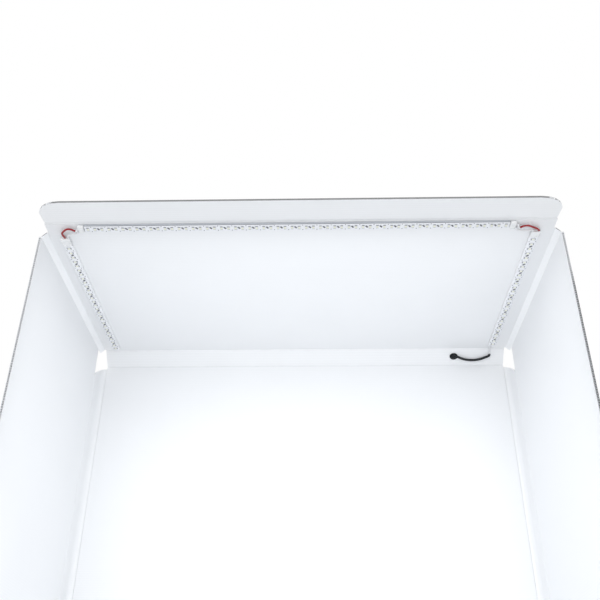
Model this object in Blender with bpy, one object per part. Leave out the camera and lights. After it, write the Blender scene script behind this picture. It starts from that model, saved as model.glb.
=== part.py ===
"""Folding photo light box of white twin-wall sheet, with three LED strips under its ceiling.

Units are metres, +Z is up, the open front faces -Y, and the origin lies on the table
under the middle of the box. The sheet is creased into panels: the back wall carries the
ceiling, the side walls and the floor, and each of them folds about its crease.
"""
import math

import bmesh
import bpy
from mathutils import Matrix, Vector

MM = 0.001

# The folded sheet
HEIGHT = 600 * MM
CEILING_DEPTH = 300 * MM
CEILING_HALF = 298.5 * MM
SHEET = 3 * MM
FOLD_GAP = 0.3 * MM
SPINE_RUN = 20.5 * MM
SPINE_DROP = 19 * MM
SPINE_INSET = 1 * MM
BACK_INSET = 0.5 * MM

# The side walls and the bands that join them to the back wall
WALL_CLEARANCE = 6.5 * MM
FLOOR_CLEARANCE = 0.8 * MM
WALL_FRONT_SETBACK = 17 * MM
WALL_CREASE_BEFORE_SPINE = 12 * MM
WALL_FOOT_LIFT = 3.5 * MM
CORNER_STRAIGHT = 21 * MM
CORNER_CUT_DROP = 48 * MM
CORNER_CUT_GAP = 2 * MM
CORNER_CURVE_STEPS = 8

# The bent flanges along the ceiling's sides
FLANGE_SHEET = 1.2 * MM
FLANGE_SIDE_GAP = 0.4 * MM
FLANGE_TIP_GAP = 0.4 * MM
FLANGE_BEND = math.radians(45)
FLANGE_REAR_SETBACK = 3 * MM

# The flap in front of the ceiling
FLAP_LENGTH = 29.5 * MM
FLAP_TILT = math.radians(12)
FLAP_ROOT_INSET = 2 * MM
FLAP_OVERHANG = 0.5 * MM
FLAP_CORNER_ACROSS = 26 * MM
FLAP_CORNER_ALONG = 15 * MM
FLAP_CORNER_STEPS = 8

# The LED strips
STRIP_WIDTH = 10.8 * MM
TAPE_THICKNESS = 2 * MM
BOARD_THICKNESS = 0.6 * MM
LED_LENGTH = 2.8 * MM
LED_WIDTH = 3.5 * MM
LED_HEIGHT = 0.8 * MM
FRONT_LED_PITCH = 8.25 * MM
FRONT_STRIP_LEFT_INSET = 47 * MM
FRONT_STRIP_RIGHT_INSET = 55 * MM
FRONT_STRIP_SETBACK = 2.2 * MM
LEFT_STRIP_INSET = 18.5 * MM
LEFT_STRIP_START = 39.3 * MM
LEFT_STRIP_REAR_INSET = 8.4 * MM
LEFT_LED_PITCH = 9.01 * MM
RIGHT_STRIP_INSET = 21.5 * MM
RIGHT_STRIP_START = 29.9 * MM
RIGHT_STRIP_REAR_INSET = 13.7 * MM
RIGHT_LED_PITCH = 9.155 * MM

# The glued caps on the strip ends, the sleeves and the jumper wires
CAP_LENGTH = 7.5 * MM
LEFT_SIDE_CAP_LENGTH = 15 * MM
RIGHT_SIDE_CAP_LENGTH = 11 * MM
CAP_WIDTH = 11.4 * MM
CAP_HEIGHT = 4.6 * MM
CAP_ROUNDING = 1.3 * MM
CAP_ROUNDING_STEPS = 2
SLEEVE_DIAMETER = 2.8 * MM
JUMPER_DIAMETER = 2.3 * MM
FEED_WIRE_DIAMETER = 1.4 * MM
FEED_WIRE_SHIFT = 0.9 * MM
FEED_WIRE_GAP = 1.3 * MM
FEED_WIRE_REACH = 4 * MM
FEED_WIRE_DIP = 0.6 * MM

# The supply lead, its gland and its plug
LEAD_DIAMETER = 3.5 * MM
LEAD_START_SHIFT = 1.5 * MM
LEAD_START_SHARE = 0.34
LEAD_START_BELOW = 2.1 * MM
LEAD_GLAND_STANDOFF = 1.6 * MM
LEAD_GLAND_BELOW = 4.1 * MM
GLAND_INSET = 74.2 * MM
GLAND_SPINE_SHARE = 0.46
GLAND_HOLE = 8.6 * MM
GLAND_NECK = 8 * MM
GLAND_RIM = 12 * MM
GLAND_RIM_HEIGHT = 1.6 * MM
GLAND_DOME = 7.6 * MM
GLAND_DOME_HEIGHT = 3.2 * MM
GLAND_TAIL = 5.2 * MM
GLAND_TAIL_LENGTH = 10 * MM
GLAND_SIDES = 24
HANG_BEHIND_CREASE = 31 * MM
LEAD_TABLE_GAP = 0.1 * MM
COIL_TURNS = 6.25
COIL_MIDDLE_DIAMETER = 40 * MM
COIL_PITCH = 4.45 * MM
COIL_LAYER_PITCH = 4.45 * MM
COIL_POINTS_PER_TURN = 24
COIL_BEHIND_CREASE = 57 * MM
COIL_TAIL = 14 * MM
RELIEF_LENGTH = 20 * MM
RELIEF_END = 6.4 * MM
RELIEF_WALL = 0.5 * MM
PLUG_LENGTH = 21 * MM
PLUG_WIDTH = 15.6 * MM
PLUG_HEIGHT = 8.2 * MM
PLUG_ROUNDING = 1.6 * MM
SHELL_LENGTH = 14 * MM
SHELL_WIDTH = 12 * MM
SHELL_HEIGHT = 4.5 * MM
SHELL_WALL = 0.4 * MM
TONGUE_LENGTH = 12 * MM
TONGUE_WIDTH = 10 * MM
TONGUE_HEIGHT = 1.8 * MM
TONGUE_ROUNDING = 0.3 * MM

HALF = SHEET / 2
SEAT_GAP = FOLD_GAP
SPINE_HALF = CEILING_HALF - SPINE_INSET
BACK_HALF = CEILING_HALF - BACK_INSET
WALL_INNER_HALF = CEILING_HALF + WALL_CLEARANCE
FLANGE_CREASE_DROP = SHEET - FLANGE_SHEET / 2
FLANGE_REACH = WALL_CLEARANCE - FLANGE_SIDE_GAP - FLANGE_SHEET / 2 * math.sin(FLANGE_BEND)
FLANGE_WIDTH = FLANGE_REACH / math.cos(FLANGE_BEND)
FLANGE_FALL = FLANGE_WIDTH * math.sin(FLANGE_BEND) + FLANGE_SHEET / 2 * math.cos(FLANGE_BEND)
WALL_TOP_DROP = FLANGE_CREASE_DROP + FLANGE_FALL + FLANGE_TIP_GAP
FLOOR_HALF = WALL_INNER_HALF - FLOOR_CLEARANCE
FLAP_ROOT_HALF = CEILING_HALF - FLAP_ROOT_INSET
FLAP_WIDE_HALF = CEILING_HALF + FLAP_OVERHANG
LEFT_STRIP_X = LEFT_STRIP_INSET - CEILING_HALF
RIGHT_STRIP_X = CEILING_HALF - RIGHT_STRIP_INSET
LEAD_START_X = RIGHT_STRIP_X - LEAD_START_SHIFT
GLAND_X = SPINE_HALF - GLAND_INSET
SPINE_ANGLE = math.atan2(SPINE_DROP, SPINE_RUN)
SPINE_LENGTH = math.hypot(SPINE_RUN, SPINE_DROP)

# The front crease is placed so that the origin is the middle of the whole depth
REACH_FORWARD = FLAP_LENGTH * math.cos(FLAP_TILT) + HALF * math.sin(FLAP_TILT)
REACH_BACK = CEILING_DEPTH + SPINE_RUN + HALF
FRONT_Y = (REACH_FORWARD - REACH_BACK) / 2
REAR_CREASE_Y = FRONT_Y + CEILING_DEPTH
BACK_Y = REAR_CREASE_Y + SPINE_RUN
CEILING_CREASE_Z = HEIGHT - HALF
FLOOR_CREASE_Z = HALF
WALL_FRONT_Y = FRONT_Y + WALL_FRONT_SETBACK
WALL_CREASE_Y = REAR_CREASE_Y - WALL_CREASE_BEFORE_SPINE
WALL_CREASE_X = WALL_INNER_HALF + HALF
WALL_TOP_Z = HEIGHT - WALL_TOP_DROP
CEILING_FACE_Z = HEIGHT - SHEET
FLANGE_CREASE_Z = HEIGHT - FLANGE_CREASE_DROP


def clear_scene():
    for thing in list(bpy.data.objects):
        bpy.data.objects.remove(thing, do_unlink=True)


def make_material(name, colour, roughness, metallic=0.0):
    material = bpy.data.materials.new(name)
    material.use_nodes = True
    shader = material.node_tree.nodes["Principled BSDF"]
    shader.inputs["Base Color"].default_value = (*colour, 1.0)
    shader.inputs["Roughness"].default_value = roughness
    shader.inputs["Metallic"].default_value = metallic
    return material


def make_materials():
    return {
        "sheet": make_material("white_sheet", (0.86, 0.87, 0.88), 0.45),
        "board": make_material("strip_board", (0.84, 0.85, 0.88), 0.35),
        "tape": make_material("foam_tape", (0.58, 0.60, 0.63), 0.7),
        "glue": make_material("white_glue", (0.85, 0.86, 0.86), 0.3),
        "red": make_material("red_wire", (0.62, 0.05, 0.06), 0.4),
        "white": make_material("white_wire", (0.82, 0.83, 0.83), 0.4),
        "black": make_material("black_rubber", (0.03, 0.035, 0.04), 0.5),
        "metal": make_material("plated_shell", (0.72, 0.73, 0.75), 0.25, 1.0),
    }


def pivot_at(name, place):
    pivot = bpy.data.objects.new(name, None)
    pivot.location = place
    bpy.context.collection.objects.link(pivot)
    bpy.context.view_layer.update()
    return pivot


def add_object(name, data, material, pivot=None):
    data.materials.append(material)
    thing = bpy.data.objects.new(name, data)
    bpy.context.collection.objects.link(thing)
    if pivot is not None:
        thing.parent = pivot
        thing.matrix_parent_inverse = Matrix.Translation(-pivot.location)
    return thing


def finish_mesh(shape, name, smooth_angle=None):
    bmesh.ops.recalc_face_normals(shape, faces=shape.faces)
    mesh = bpy.data.meshes.new(name)
    shape.to_mesh(mesh)
    shape.free()
    if smooth_angle is not None:
        mesh.shade_smooth()
        mesh.set_sharp_from_angle(angle=smooth_angle)
    return mesh


def prism(name, outline, place, material, pivot=None):
    """Close an outline of (u, v) points between its two ends, place(u, v, 0) and (u, v, 1)."""
    shape = bmesh.new()
    ends = [[shape.verts.new(place(u, v, side)) for u, v in outline] for side in (0, 1)]
    for ring in ends:
        shape.faces.new(ring)
    for index in range(len(outline)):
        after = (index + 1) % len(outline)
        shape.faces.new((ends[0][index], ends[0][after], ends[1][after], ends[1][index]))
    return add_object(name, finish_mesh(shape, name), material, pivot)


def fold_setback(angle):
    """Distance from the crease at which a panel's corner clears the neighbour at this angle."""
    if angle >= math.pi / 2:
        return HALF + FOLD_GAP
    return (HALF + FOLD_GAP + HALF * math.cos(angle)) / math.sin(angle)


def round_edge(centre, direction, radius=HALF, steps=6):
    """Points (along, across) of a rolled edge, from the upper face round to the lower face."""
    turns = [math.pi / 2 - math.pi * step / steps for step in range(steps + 1)]
    return [(centre + direction * radius * math.cos(turn), radius * math.sin(turn)) for turn in turns]


def panel_outline(near_upper, near_lower, far_upper, far_lower, near_round=False, far_round=False):
    """Outline of a panel cut across its crease; a rolled edge is centred on its crease."""
    far = round_edge(far_upper, 1) if far_round else [(far_upper, HALF), (far_lower, -HALF)]
    near = round_edge(near_upper, -1) if near_round else [(near_upper, HALF), (near_lower, -HALF)]
    return far + near[::-1]


def along_slope(y, z, angle, half_width):
    """Place a panel that leaves the crease (y, z) at this angle above +Y and runs along X."""
    def place(along, across, side):
        x = half_width * (2 * side - 1)
        return Vector((
            x,
            y + along * math.cos(angle) - across * math.sin(angle),
            z + along * math.sin(angle) + across * math.cos(angle),
        ))
    return place


def rounded_block(name, size, centre, rounding, steps, material, pivot=None):
    shape = bmesh.new()
    bmesh.ops.create_cube(shape, size=1.0)
    bmesh.ops.scale(shape, vec=size, verts=shape.verts)
    bmesh.ops.bevel(
        shape, geom=shape.edges[:], offset=rounding, segments=steps, profile=0.5, affect="EDGES"
    )
    bmesh.ops.translate(shape, vec=centre, verts=shape.verts)
    return add_object(name, finish_mesh(shape, name, math.radians(40)), material, pivot)


def smooth_route(points, spacing):
    """Read a Catmull-Rom curve through the route's points at about this spacing."""
    knots = [Vector(point) for point in points]
    knots = [2 * knots[0] - knots[1]] + knots + [2 * knots[-1] - knots[-2]]
    fine = []
    for before, start, end, after in zip(knots, knots[1:], knots[2:], knots[3:]):
        for step in range(12):
            t = step / 12
            fine.append(0.5 * (
                2 * start + (end - before) * t
                + (2 * before - 5 * start + 4 * end - after) * t ** 2
                + (3 * start - before - 3 * end + after) * t ** 3
            ))
    fine.append(knots[-2])
    lengths = [0.0]
    for first, second in zip(fine, fine[1:]):
        lengths.append(lengths[-1] + (second - first).length)
    count = max(2, round(lengths[-1] / spacing))
    route, index = [], 0
    for step in range(count + 1):
        target = lengths[-1] * step / count
        while index < len(fine) - 2 and lengths[index + 1] < target:
            index += 1
        share = (target - lengths[index]) / (lengths[index + 1] - lengths[index])
        route.append(fine[index].lerp(fine[index + 1], share))
    return route


def tube(name, points, diameter, material, pivot=None, resolution=2):
    curve = bpy.data.curves.new(name, "CURVE")
    curve.dimensions = "3D"
    curve.bevel_depth = diameter / 2
    curve.bevel_resolution = resolution
    curve.use_fill_caps = True
    spline = curve.splines.new("POLY")
    spline.points.add(len(points) - 1)
    for target, point in zip(spline.points, points):
        target.co = (*point, 1.0)
    return add_object(name, curve, material, pivot)


def route_length(points):
    return sum((Vector(b) - Vector(a)).length for a, b in zip(points, points[1:]))


def build_back_wall(materials):
    top_z = CEILING_CREASE_Z - SPINE_DROP
    foot_z = FLOOR_CREASE_Z + SPINE_DROP
    outline = panel_outline(0, 0, top_z - foot_z, top_z - foot_z, near_round=True, far_round=True)
    width = BACK_HALF - FOLD_GAP
    place = along_slope(BACK_Y, foot_z, math.pi / 2, width)
    prism("back_wall", outline, place, materials["sheet"])


def build_spines(materials):
    closing = fold_setback(math.pi / 2 - SPINE_ANGLE)
    opening = fold_setback(math.pi / 2 + SPINE_ANGLE)
    far = SPINE_LENGTH - HALF - FOLD_GAP
    upper_place = along_slope(REAR_CREASE_Y, CEILING_CREASE_Z, -SPINE_ANGLE, SPINE_HALF)
    lower_place = along_slope(REAR_CREASE_Y, FLOOR_CREASE_Z, SPINE_ANGLE, SPINE_HALF)
    ceiling_spine = prism(
        "ceiling_spine", panel_outline(opening, closing, far, far), upper_place, materials["sheet"]
    )
    prism("floor_spine", panel_outline(closing, opening, far, far), lower_place, materials["sheet"])
    return ceiling_spine


def build_corner_spine(name, side, materials):
    """A band from the side wall's rear crease back and round to the back wall, cut slantwise."""
    start = WALL_CREASE_Y + HALF + FOLD_GAP
    bend = WALL_CREASE_Y + CORNER_STRAIGHT
    across = WALL_CREASE_X - BACK_HALF
    back = BACK_Y - bend
    line = [(Vector((WALL_CREASE_X, start)), Vector((1, 0)))]
    for step in range(CORNER_CURVE_STEPS + 1):
        turn = math.pi / 2 * step / CORNER_CURVE_STEPS
        centre = Vector((BACK_HALF + across * math.cos(turn), bend + back * math.sin(turn)))
        outward = Vector((back * math.cos(turn), across * math.sin(turn))).normalized()
        line.append((centre, outward))
    outline = [centre + HALF * outward for centre, outward in line]
    outline += [centre - HALF * outward for centre, outward in reversed(line)]
    low_back = FLOOR_CREASE_Z + SPINE_DROP + HALF + CORNER_CUT_GAP

    def place(x, y, top):
        share = (y - WALL_CREASE_Y) / (BACK_Y - WALL_CREASE_Y)
        foot = CORNER_CUT_DROP + (low_back - CORNER_CUT_DROP) * share
        return Vector((side * x, y, HEIGHT - foot if top else foot))

    prism(name, [tuple(point) for point in outline], place, materials["sheet"])


def build_ceiling(materials, pivot):
    outline = panel_outline(0, 0, CEILING_DEPTH, CEILING_DEPTH, near_round=True, far_round=True)
    half_width = CEILING_HALF - FLANGE_SHEET / 2 - FOLD_GAP
    place = along_slope(FRONT_Y, CEILING_CREASE_Z, 0, half_width)
    prism("ceiling_panel", outline, place, materials["sheet"], pivot)


def build_flange(name, side, materials, pivot):
    """A thin crushed strip, bent down outside the ceiling's side crease."""
    radius = FLANGE_SHEET / 2
    outline = [(FLANGE_WIDTH, radius), (FLANGE_WIDTH, -radius)] + round_edge(0, -1, radius)[::-1]
    ends = (WALL_FRONT_Y, REAR_CREASE_Y - FLANGE_REAR_SETBACK)

    def place(along, across, end):
        x = CEILING_HALF + along * math.cos(FLANGE_BEND) + across * math.sin(FLANGE_BEND)
        z = FLANGE_CREASE_Z - along * math.sin(FLANGE_BEND) + across * math.cos(FLANGE_BEND)
        return Vector((side * x, ends[end], z))

    prism(name, outline, place, materials["sheet"], pivot)


def build_flap(materials, pivot):
    wide = FLAP_WIDE_HALF
    root = HALF + FOLD_GAP
    straight = FLAP_LENGTH - FLAP_CORNER_ALONG
    right = [(FLAP_ROOT_HALF, root), (wide, straight)]
    for step in range(1, FLAP_CORNER_STEPS + 1):
        turn = math.pi / 2 * step / FLAP_CORNER_STEPS
        right.append((
            wide - FLAP_CORNER_ACROSS * (1 - math.cos(turn)),
            straight + FLAP_CORNER_ALONG * math.sin(turn),
        ))
    outline = right + [(-x, along) for x, along in reversed(right)]

    def place(x, along, upper):
        across = HALF * (2 * upper - 1)
        y = FRONT_Y - along * math.cos(FLAP_TILT) + across * math.sin(FLAP_TILT)
        z = CEILING_CREASE_Z + along * math.sin(FLAP_TILT) + across * math.cos(FLAP_TILT)
        return Vector((x, y, z))

    prism("front_flap", outline, place, materials["sheet"], pivot)


def build_side_wall(name, side, materials, pivot):
    depth = WALL_CREASE_Y - WALL_FRONT_Y
    outline = panel_outline(0, 0, depth, depth, near_round=True)

    def place(along, across, top):
        z = WALL_TOP_Z if top else WALL_FOOT_LIFT
        return Vector((side * (WALL_CREASE_X + across), WALL_CREASE_Y - along, z))

    prism(name, outline, place, materials["sheet"], pivot)


def build_floor(materials, pivot):
    outline = panel_outline(0, 0, CEILING_DEPTH, CEILING_DEPTH, far_round=True)
    place = along_slope(FRONT_Y, FLOOR_CREASE_Z, 0, FLOOR_HALF)
    prism("floor_panel", outline, place, materials["sheet"], pivot)


def led_board(name, count, pitch, place, materials, pivot):
    """A strip board whose lower face rises into one LED package in each cell, as one body."""
    half_width = STRIP_WIDTH / 2
    shape = bmesh.new()

    def point(along, across, down):
        return shape.verts.new(place(along, across, down))

    edges = [(point(i * pitch, -half_width, 0), point(i * pitch, half_width, 0)) for i in range(count + 1)]
    tops = [
        (point(along, -half_width, -BOARD_THICKNESS), point(along, half_width, -BOARD_THICKNESS))
        for along in (0, count * pitch)
    ]
    for cell in range(count):
        middle = (cell + 0.5) * pitch
        corners = [
            (middle + LED_LENGTH / 2 * along, LED_WIDTH / 2 * across)
            for along, across in ((-1, -1), (-1, 1), (1, 1), (1, -1))
        ]
        base = [point(along, across, 0) for along, across in corners]
        head = [point(along, across, LED_HEIGHT) for along, across in corners]
        (near_low, near_high), (far_low, far_high) = edges[cell], edges[cell + 1]
        rim = [near_low, near_high, far_high, far_low]
        for index in range(4):
            after = (index + 1) % 4
            shape.faces.new((rim[index], rim[after], base[after], base[index]))
            shape.faces.new((base[index], base[after], head[after], head[index]))
        shape.faces.new(head)
    shape.faces.new((tops[0][0], tops[0][1], tops[1][1], tops[1][0]))
    shape.faces.new((tops[0][0], tops[0][1], edges[0][1], edges[0][0]))
    shape.faces.new((tops[1][0], tops[1][1], edges[-1][1], edges[-1][0]))
    for side in (0, 1):
        shape.faces.new([tops[0][side], tops[1][side]] + [pair[side] for pair in reversed(edges)])
    add_object(name, finish_mesh(shape, name), materials["board"], pivot)


def build_strip(names, count, pitch, start, direction, materials, pivot):
    """A foam tape bar under the ceiling and the LED board under it; start is the near end."""
    along_axis = Vector(direction)
    across_axis = Vector((along_axis.y, -along_axis.x, 0))
    length = count * pitch
    board_face = CEILING_FACE_Z - 2 * SEAT_GAP - TAPE_THICKNESS - BOARD_THICKNESS

    def place_board(along, across, down):
        flat = Vector((*start, 0)) + along_axis * along + across_axis * across
        return flat + Vector((0, 0, board_face - down))

    def place_tape(along, across, low):
        flat = Vector((*start, 0)) + along_axis * along + across_axis * across
        return flat + Vector((0, 0, CEILING_FACE_Z - SEAT_GAP - (TAPE_THICKNESS if low else 0)))

    half_width = STRIP_WIDTH / 2
    outline = [(0, -half_width), (length, -half_width), (length, half_width), (0, half_width)]
    prism(names[0], outline, place_tape, materials["tape"], pivot)
    led_board(names[1], count, pitch, place_board, materials, pivot)


def led_count(room, pitch):
    """How many cells of this pitch fit in the room; the small share forgives rounding."""
    rounding_share = 0.001
    return max(1, math.floor(room / pitch + rounding_share))


def front_led_count():
    room = 2 * CEILING_HALF - FRONT_STRIP_LEFT_INSET - FRONT_STRIP_RIGHT_INSET
    return led_count(room, FRONT_LED_PITCH)


def side_led_count(start, rear_inset, pitch):
    return led_count(CEILING_DEPTH - start - rear_inset, pitch)


def front_strip_ends():
    left_end = FRONT_STRIP_LEFT_INSET - CEILING_HALF
    return left_end, left_end + front_led_count() * FRONT_LED_PITCH


def front_strip_y():
    return FRONT_Y + FRONT_STRIP_SETBACK + STRIP_WIDTH / 2


def build_strips(materials, pivot):
    left_end, _ = front_strip_ends()
    build_strip(
        ("front_strip_tape", "front_led_strip"), front_led_count(), FRONT_LED_PITCH,
        (left_end, front_strip_y()), (1, 0, 0), materials, pivot,
    )
    side_strips = (
        ("left", LEFT_STRIP_X, LEFT_STRIP_START, LEFT_STRIP_REAR_INSET, LEFT_LED_PITCH),
        ("right", RIGHT_STRIP_X, RIGHT_STRIP_START, RIGHT_STRIP_REAR_INSET, RIGHT_LED_PITCH),
    )
    for side, x, start, rear_inset, pitch in side_strips:
        build_strip(
            (f"{side}_strip_tape", f"{side}_led_strip"), side_led_count(start, rear_inset, pitch), pitch,
            (x, FRONT_Y + start), (0, 1, 0), materials, pivot,
        )


def build_end_caps(materials, pivot):
    """White glue caps that close the strip ends where the jumper wires are soldered."""
    z = CEILING_FACE_Z - SEAT_GAP - CAP_HEIGHT / 2
    reach = CAP_LENGTH / 2 + SEAT_GAP
    left_end, right_end = front_strip_ends()
    lengthwise = Vector((CAP_LENGTH, CAP_WIDTH, CAP_HEIGHT))
    caps = {
        "front_strip_left_cap": (lengthwise, (left_end - reach, front_strip_y(), z)),
        "front_strip_right_cap": (lengthwise, (right_end + reach, front_strip_y(), z)),
    }
    side_caps = (
        ("left_strip_front_cap", LEFT_STRIP_X, LEFT_STRIP_START, LEFT_SIDE_CAP_LENGTH),
        ("right_strip_front_cap", RIGHT_STRIP_X, RIGHT_STRIP_START, RIGHT_SIDE_CAP_LENGTH),
    )
    for name, x, start, length in side_caps:
        centre = (x, FRONT_Y + start - SEAT_GAP - length / 2, z)
        caps[name] = (Vector((CAP_WIDTH, length, CAP_HEIGHT)), centre)
    for name, (size, centre) in caps.items():
        rounded_block(name, size, Vector(centre), CAP_ROUNDING, CAP_ROUNDING_STEPS, materials["glue"], pivot)


def jumper_routes():
    """Routes round both front corners, from the front strip's caps to the side strips' caps."""
    cap_face = CAP_LENGTH + 2 * SEAT_GAP
    left_end, right_end = front_strip_ends()
    strip_y = front_strip_y()
    z = CEILING_FACE_Z - 2.9 * MM
    low_z = CEILING_FACE_Z - 3.6 * MM
    routes = {}

    left_cap_x = left_end - cap_face
    left_tip = Vector((left_cap_x - 3.2 * MM, strip_y + 3.2 * MM, z))
    left_y = FRONT_Y + LEFT_STRIP_START - LEFT_SIDE_CAP_LENGTH - 3 * SEAT_GAP
    routes["left_wire_sleeve"] = [
        (left_cap_x, strip_y + 1.2 * MM, z),
        (left_cap_x - 0.8 * MM, strip_y + 1.3 * MM, z),
        (left_cap_x - 1.7 * MM, strip_y + 2.4 * MM, z),
        (left_cap_x - 2.4 * MM, strip_y + 3.1 * MM, z),
        left_tip,
    ]
    routes["left_red_jumper"] = [
        left_tip + Vector((-2 * SEAT_GAP, 0, 0)),
        left_tip + Vector((-1.6 * MM, -0.3 * MM, 0)),
        left_tip + Vector((-4.4 * MM, -2.8 * MM, 0)),
        left_tip + Vector((-8.6 * MM, -4.5 * MM, low_z - z)),
        (LEFT_STRIP_X + 4.7 * MM, strip_y + 1.2 * MM, low_z),
        (LEFT_STRIP_X + 0.2 * MM, strip_y + 6 * MM, low_z),
        (LEFT_STRIP_X - 0.3 * MM, left_y - 4.8 * MM, z),
        (LEFT_STRIP_X + 0.9 * MM, left_y, z),
    ]
    routes["left_white_jumper"] = [
        (left_cap_x - 0.3 * MM, strip_y + 4.5 * MM, z),
        (left_cap_x - 1.1 * MM, strip_y + 5.6 * MM, z),
        (left_tip.x, strip_y + 7.4 * MM, z),
        (LEFT_STRIP_X + 8 * MM, strip_y + 9.4 * MM, low_z),
        (LEFT_STRIP_X + 5 * MM, left_y - 3.4 * MM, z),
        (LEFT_STRIP_X + 4.2 * MM, left_y, z),
    ]

    right_cap_x = right_end + cap_face
    right_tip = Vector((right_cap_x + 4.4 * MM, strip_y + 4.6 * MM, z))
    right_y = FRONT_Y + RIGHT_STRIP_START - RIGHT_SIDE_CAP_LENGTH - 3 * SEAT_GAP
    routes["right_wire_sleeve"] = [
        (right_cap_x + 0.3 * MM, strip_y - 0.6 * MM, z),
        (right_cap_x + 1.2 * MM, strip_y - 0.4 * MM, z),
        (right_cap_x + 2.3 * MM, strip_y + 1.3 * MM, z),
        (right_cap_x + 2.9 * MM, strip_y + 3.6 * MM, z),
        (right_cap_x + 3.5 * MM, strip_y + 4.5 * MM, z),
        right_tip,
    ]
    routes["right_red_jumper"] = [
        right_tip + Vector((3 * SEAT_GAP, 0, 0)),
        right_tip + Vector((1.8 * MM, -0.5 * MM, 0)),
        right_tip + Vector((4.2 * MM, -2.6 * MM, 0)),
        right_tip + Vector((9.6 * MM, -4 * MM, low_z - z)),
        (RIGHT_STRIP_X - 4.5 * MM, strip_y + 3.9 * MM, low_z),
        (RIGHT_STRIP_X - 0.2 * MM, strip_y + 6.6 * MM, low_z),
        (RIGHT_STRIP_X + 3.2 * MM, right_y, z),
    ]
    routes["right_white_jumper"] = [
        (right_cap_x + 0.6 * MM, strip_y + 4.5 * MM, z),
        (right_cap_x + 1.2 * MM, strip_y + 5.4 * MM, z),
        (right_cap_x + 2 * MM, strip_y + 8.6 * MM, z),
        (RIGHT_STRIP_X - 12 * MM, strip_y + 9.6 * MM, low_z),
        (RIGHT_STRIP_X - 5.4 * MM, right_y - 1.4 * MM, z),
        (RIGHT_STRIP_X - 4 * MM, right_y, z),
    ]
    return routes


def build_jumpers(materials, pivot):
    """A red and a white wire bridge each front corner, beside a short white sleeve."""
    routes = jumper_routes()
    for side in ("left", "right"):
        tube(
            f"{side}_wire_sleeve", smooth_route(routes[f"{side}_wire_sleeve"], JUMPER_DIAMETER / 2),
            SLEEVE_DIAMETER, materials["white"], pivot,
        )
        for colour in ("red", "white"):
            name = f"{side}_{colour}_jumper"
            route = smooth_route(routes[name], 0.7 * JUMPER_DIAMETER)
            print(name, "length:", round(route_length(route), 4))
            tube(name, route, JUMPER_DIAMETER, materials[colour], pivot)


def spine_point(x, share, below):
    """A point under the ceiling spine: a share of its width, and a distance below its inner face."""
    along = SPINE_LENGTH * share
    across = -HALF - below
    return Vector((
        x,
        REAR_CREASE_Y + along * math.cos(SPINE_ANGLE) + across * math.sin(SPINE_ANGLE),
        CEILING_CREASE_Z - along * math.sin(SPINE_ANGLE) + across * math.cos(SPINE_ANGLE),
    ))


def build_feed_wires(materials, pivot):
    """Two thin white wires from the right strip's rear end to the black lead, over the crease."""
    count = side_led_count(RIGHT_STRIP_START, RIGHT_STRIP_REAR_INSET, RIGHT_LED_PITCH)
    strip_rear = FRONT_Y + RIGHT_STRIP_START + count * RIGHT_LED_PITCH
    z = CEILING_FACE_Z - SEAT_GAP - TAPE_THICKNESS / 2
    down_slope = Vector((0, math.cos(SPINE_ANGLE), -math.sin(SPINE_ANGLE)))
    end = lead_start() - down_slope * FEED_WIRE_GAP
    for name, shift in (("feed_wire_plus", FEED_WIRE_SHIFT), ("feed_wire_minus", -FEED_WIRE_SHIFT)):
        beside = Vector((shift, 0, 0))
        points = [
            Vector((end.x, strip_rear + SEAT_GAP, z)) + beside,
            Vector((end.x, strip_rear + FEED_WIRE_REACH, z - FEED_WIRE_DIP)) + beside,
            end - down_slope * FEED_WIRE_REACH + beside,
            end + beside,
        ]
        tube(name, smooth_route(points, 2 * FEED_WIRE_DIAMETER), FEED_WIRE_DIAMETER, materials["white"], pivot)


def lead_start():
    return spine_point(LEAD_START_X, LEAD_START_SHARE, LEAD_START_BELOW)


def gland_frame():
    """Centre of the gland on the spine's mid plane, and the spine's outward direction."""
    centre = spine_point(GLAND_X, GLAND_SPINE_SHARE, -HALF)
    outward = Vector((0, math.sin(SPINE_ANGLE), math.cos(SPINE_ANGLE)))
    return centre, outward


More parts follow.
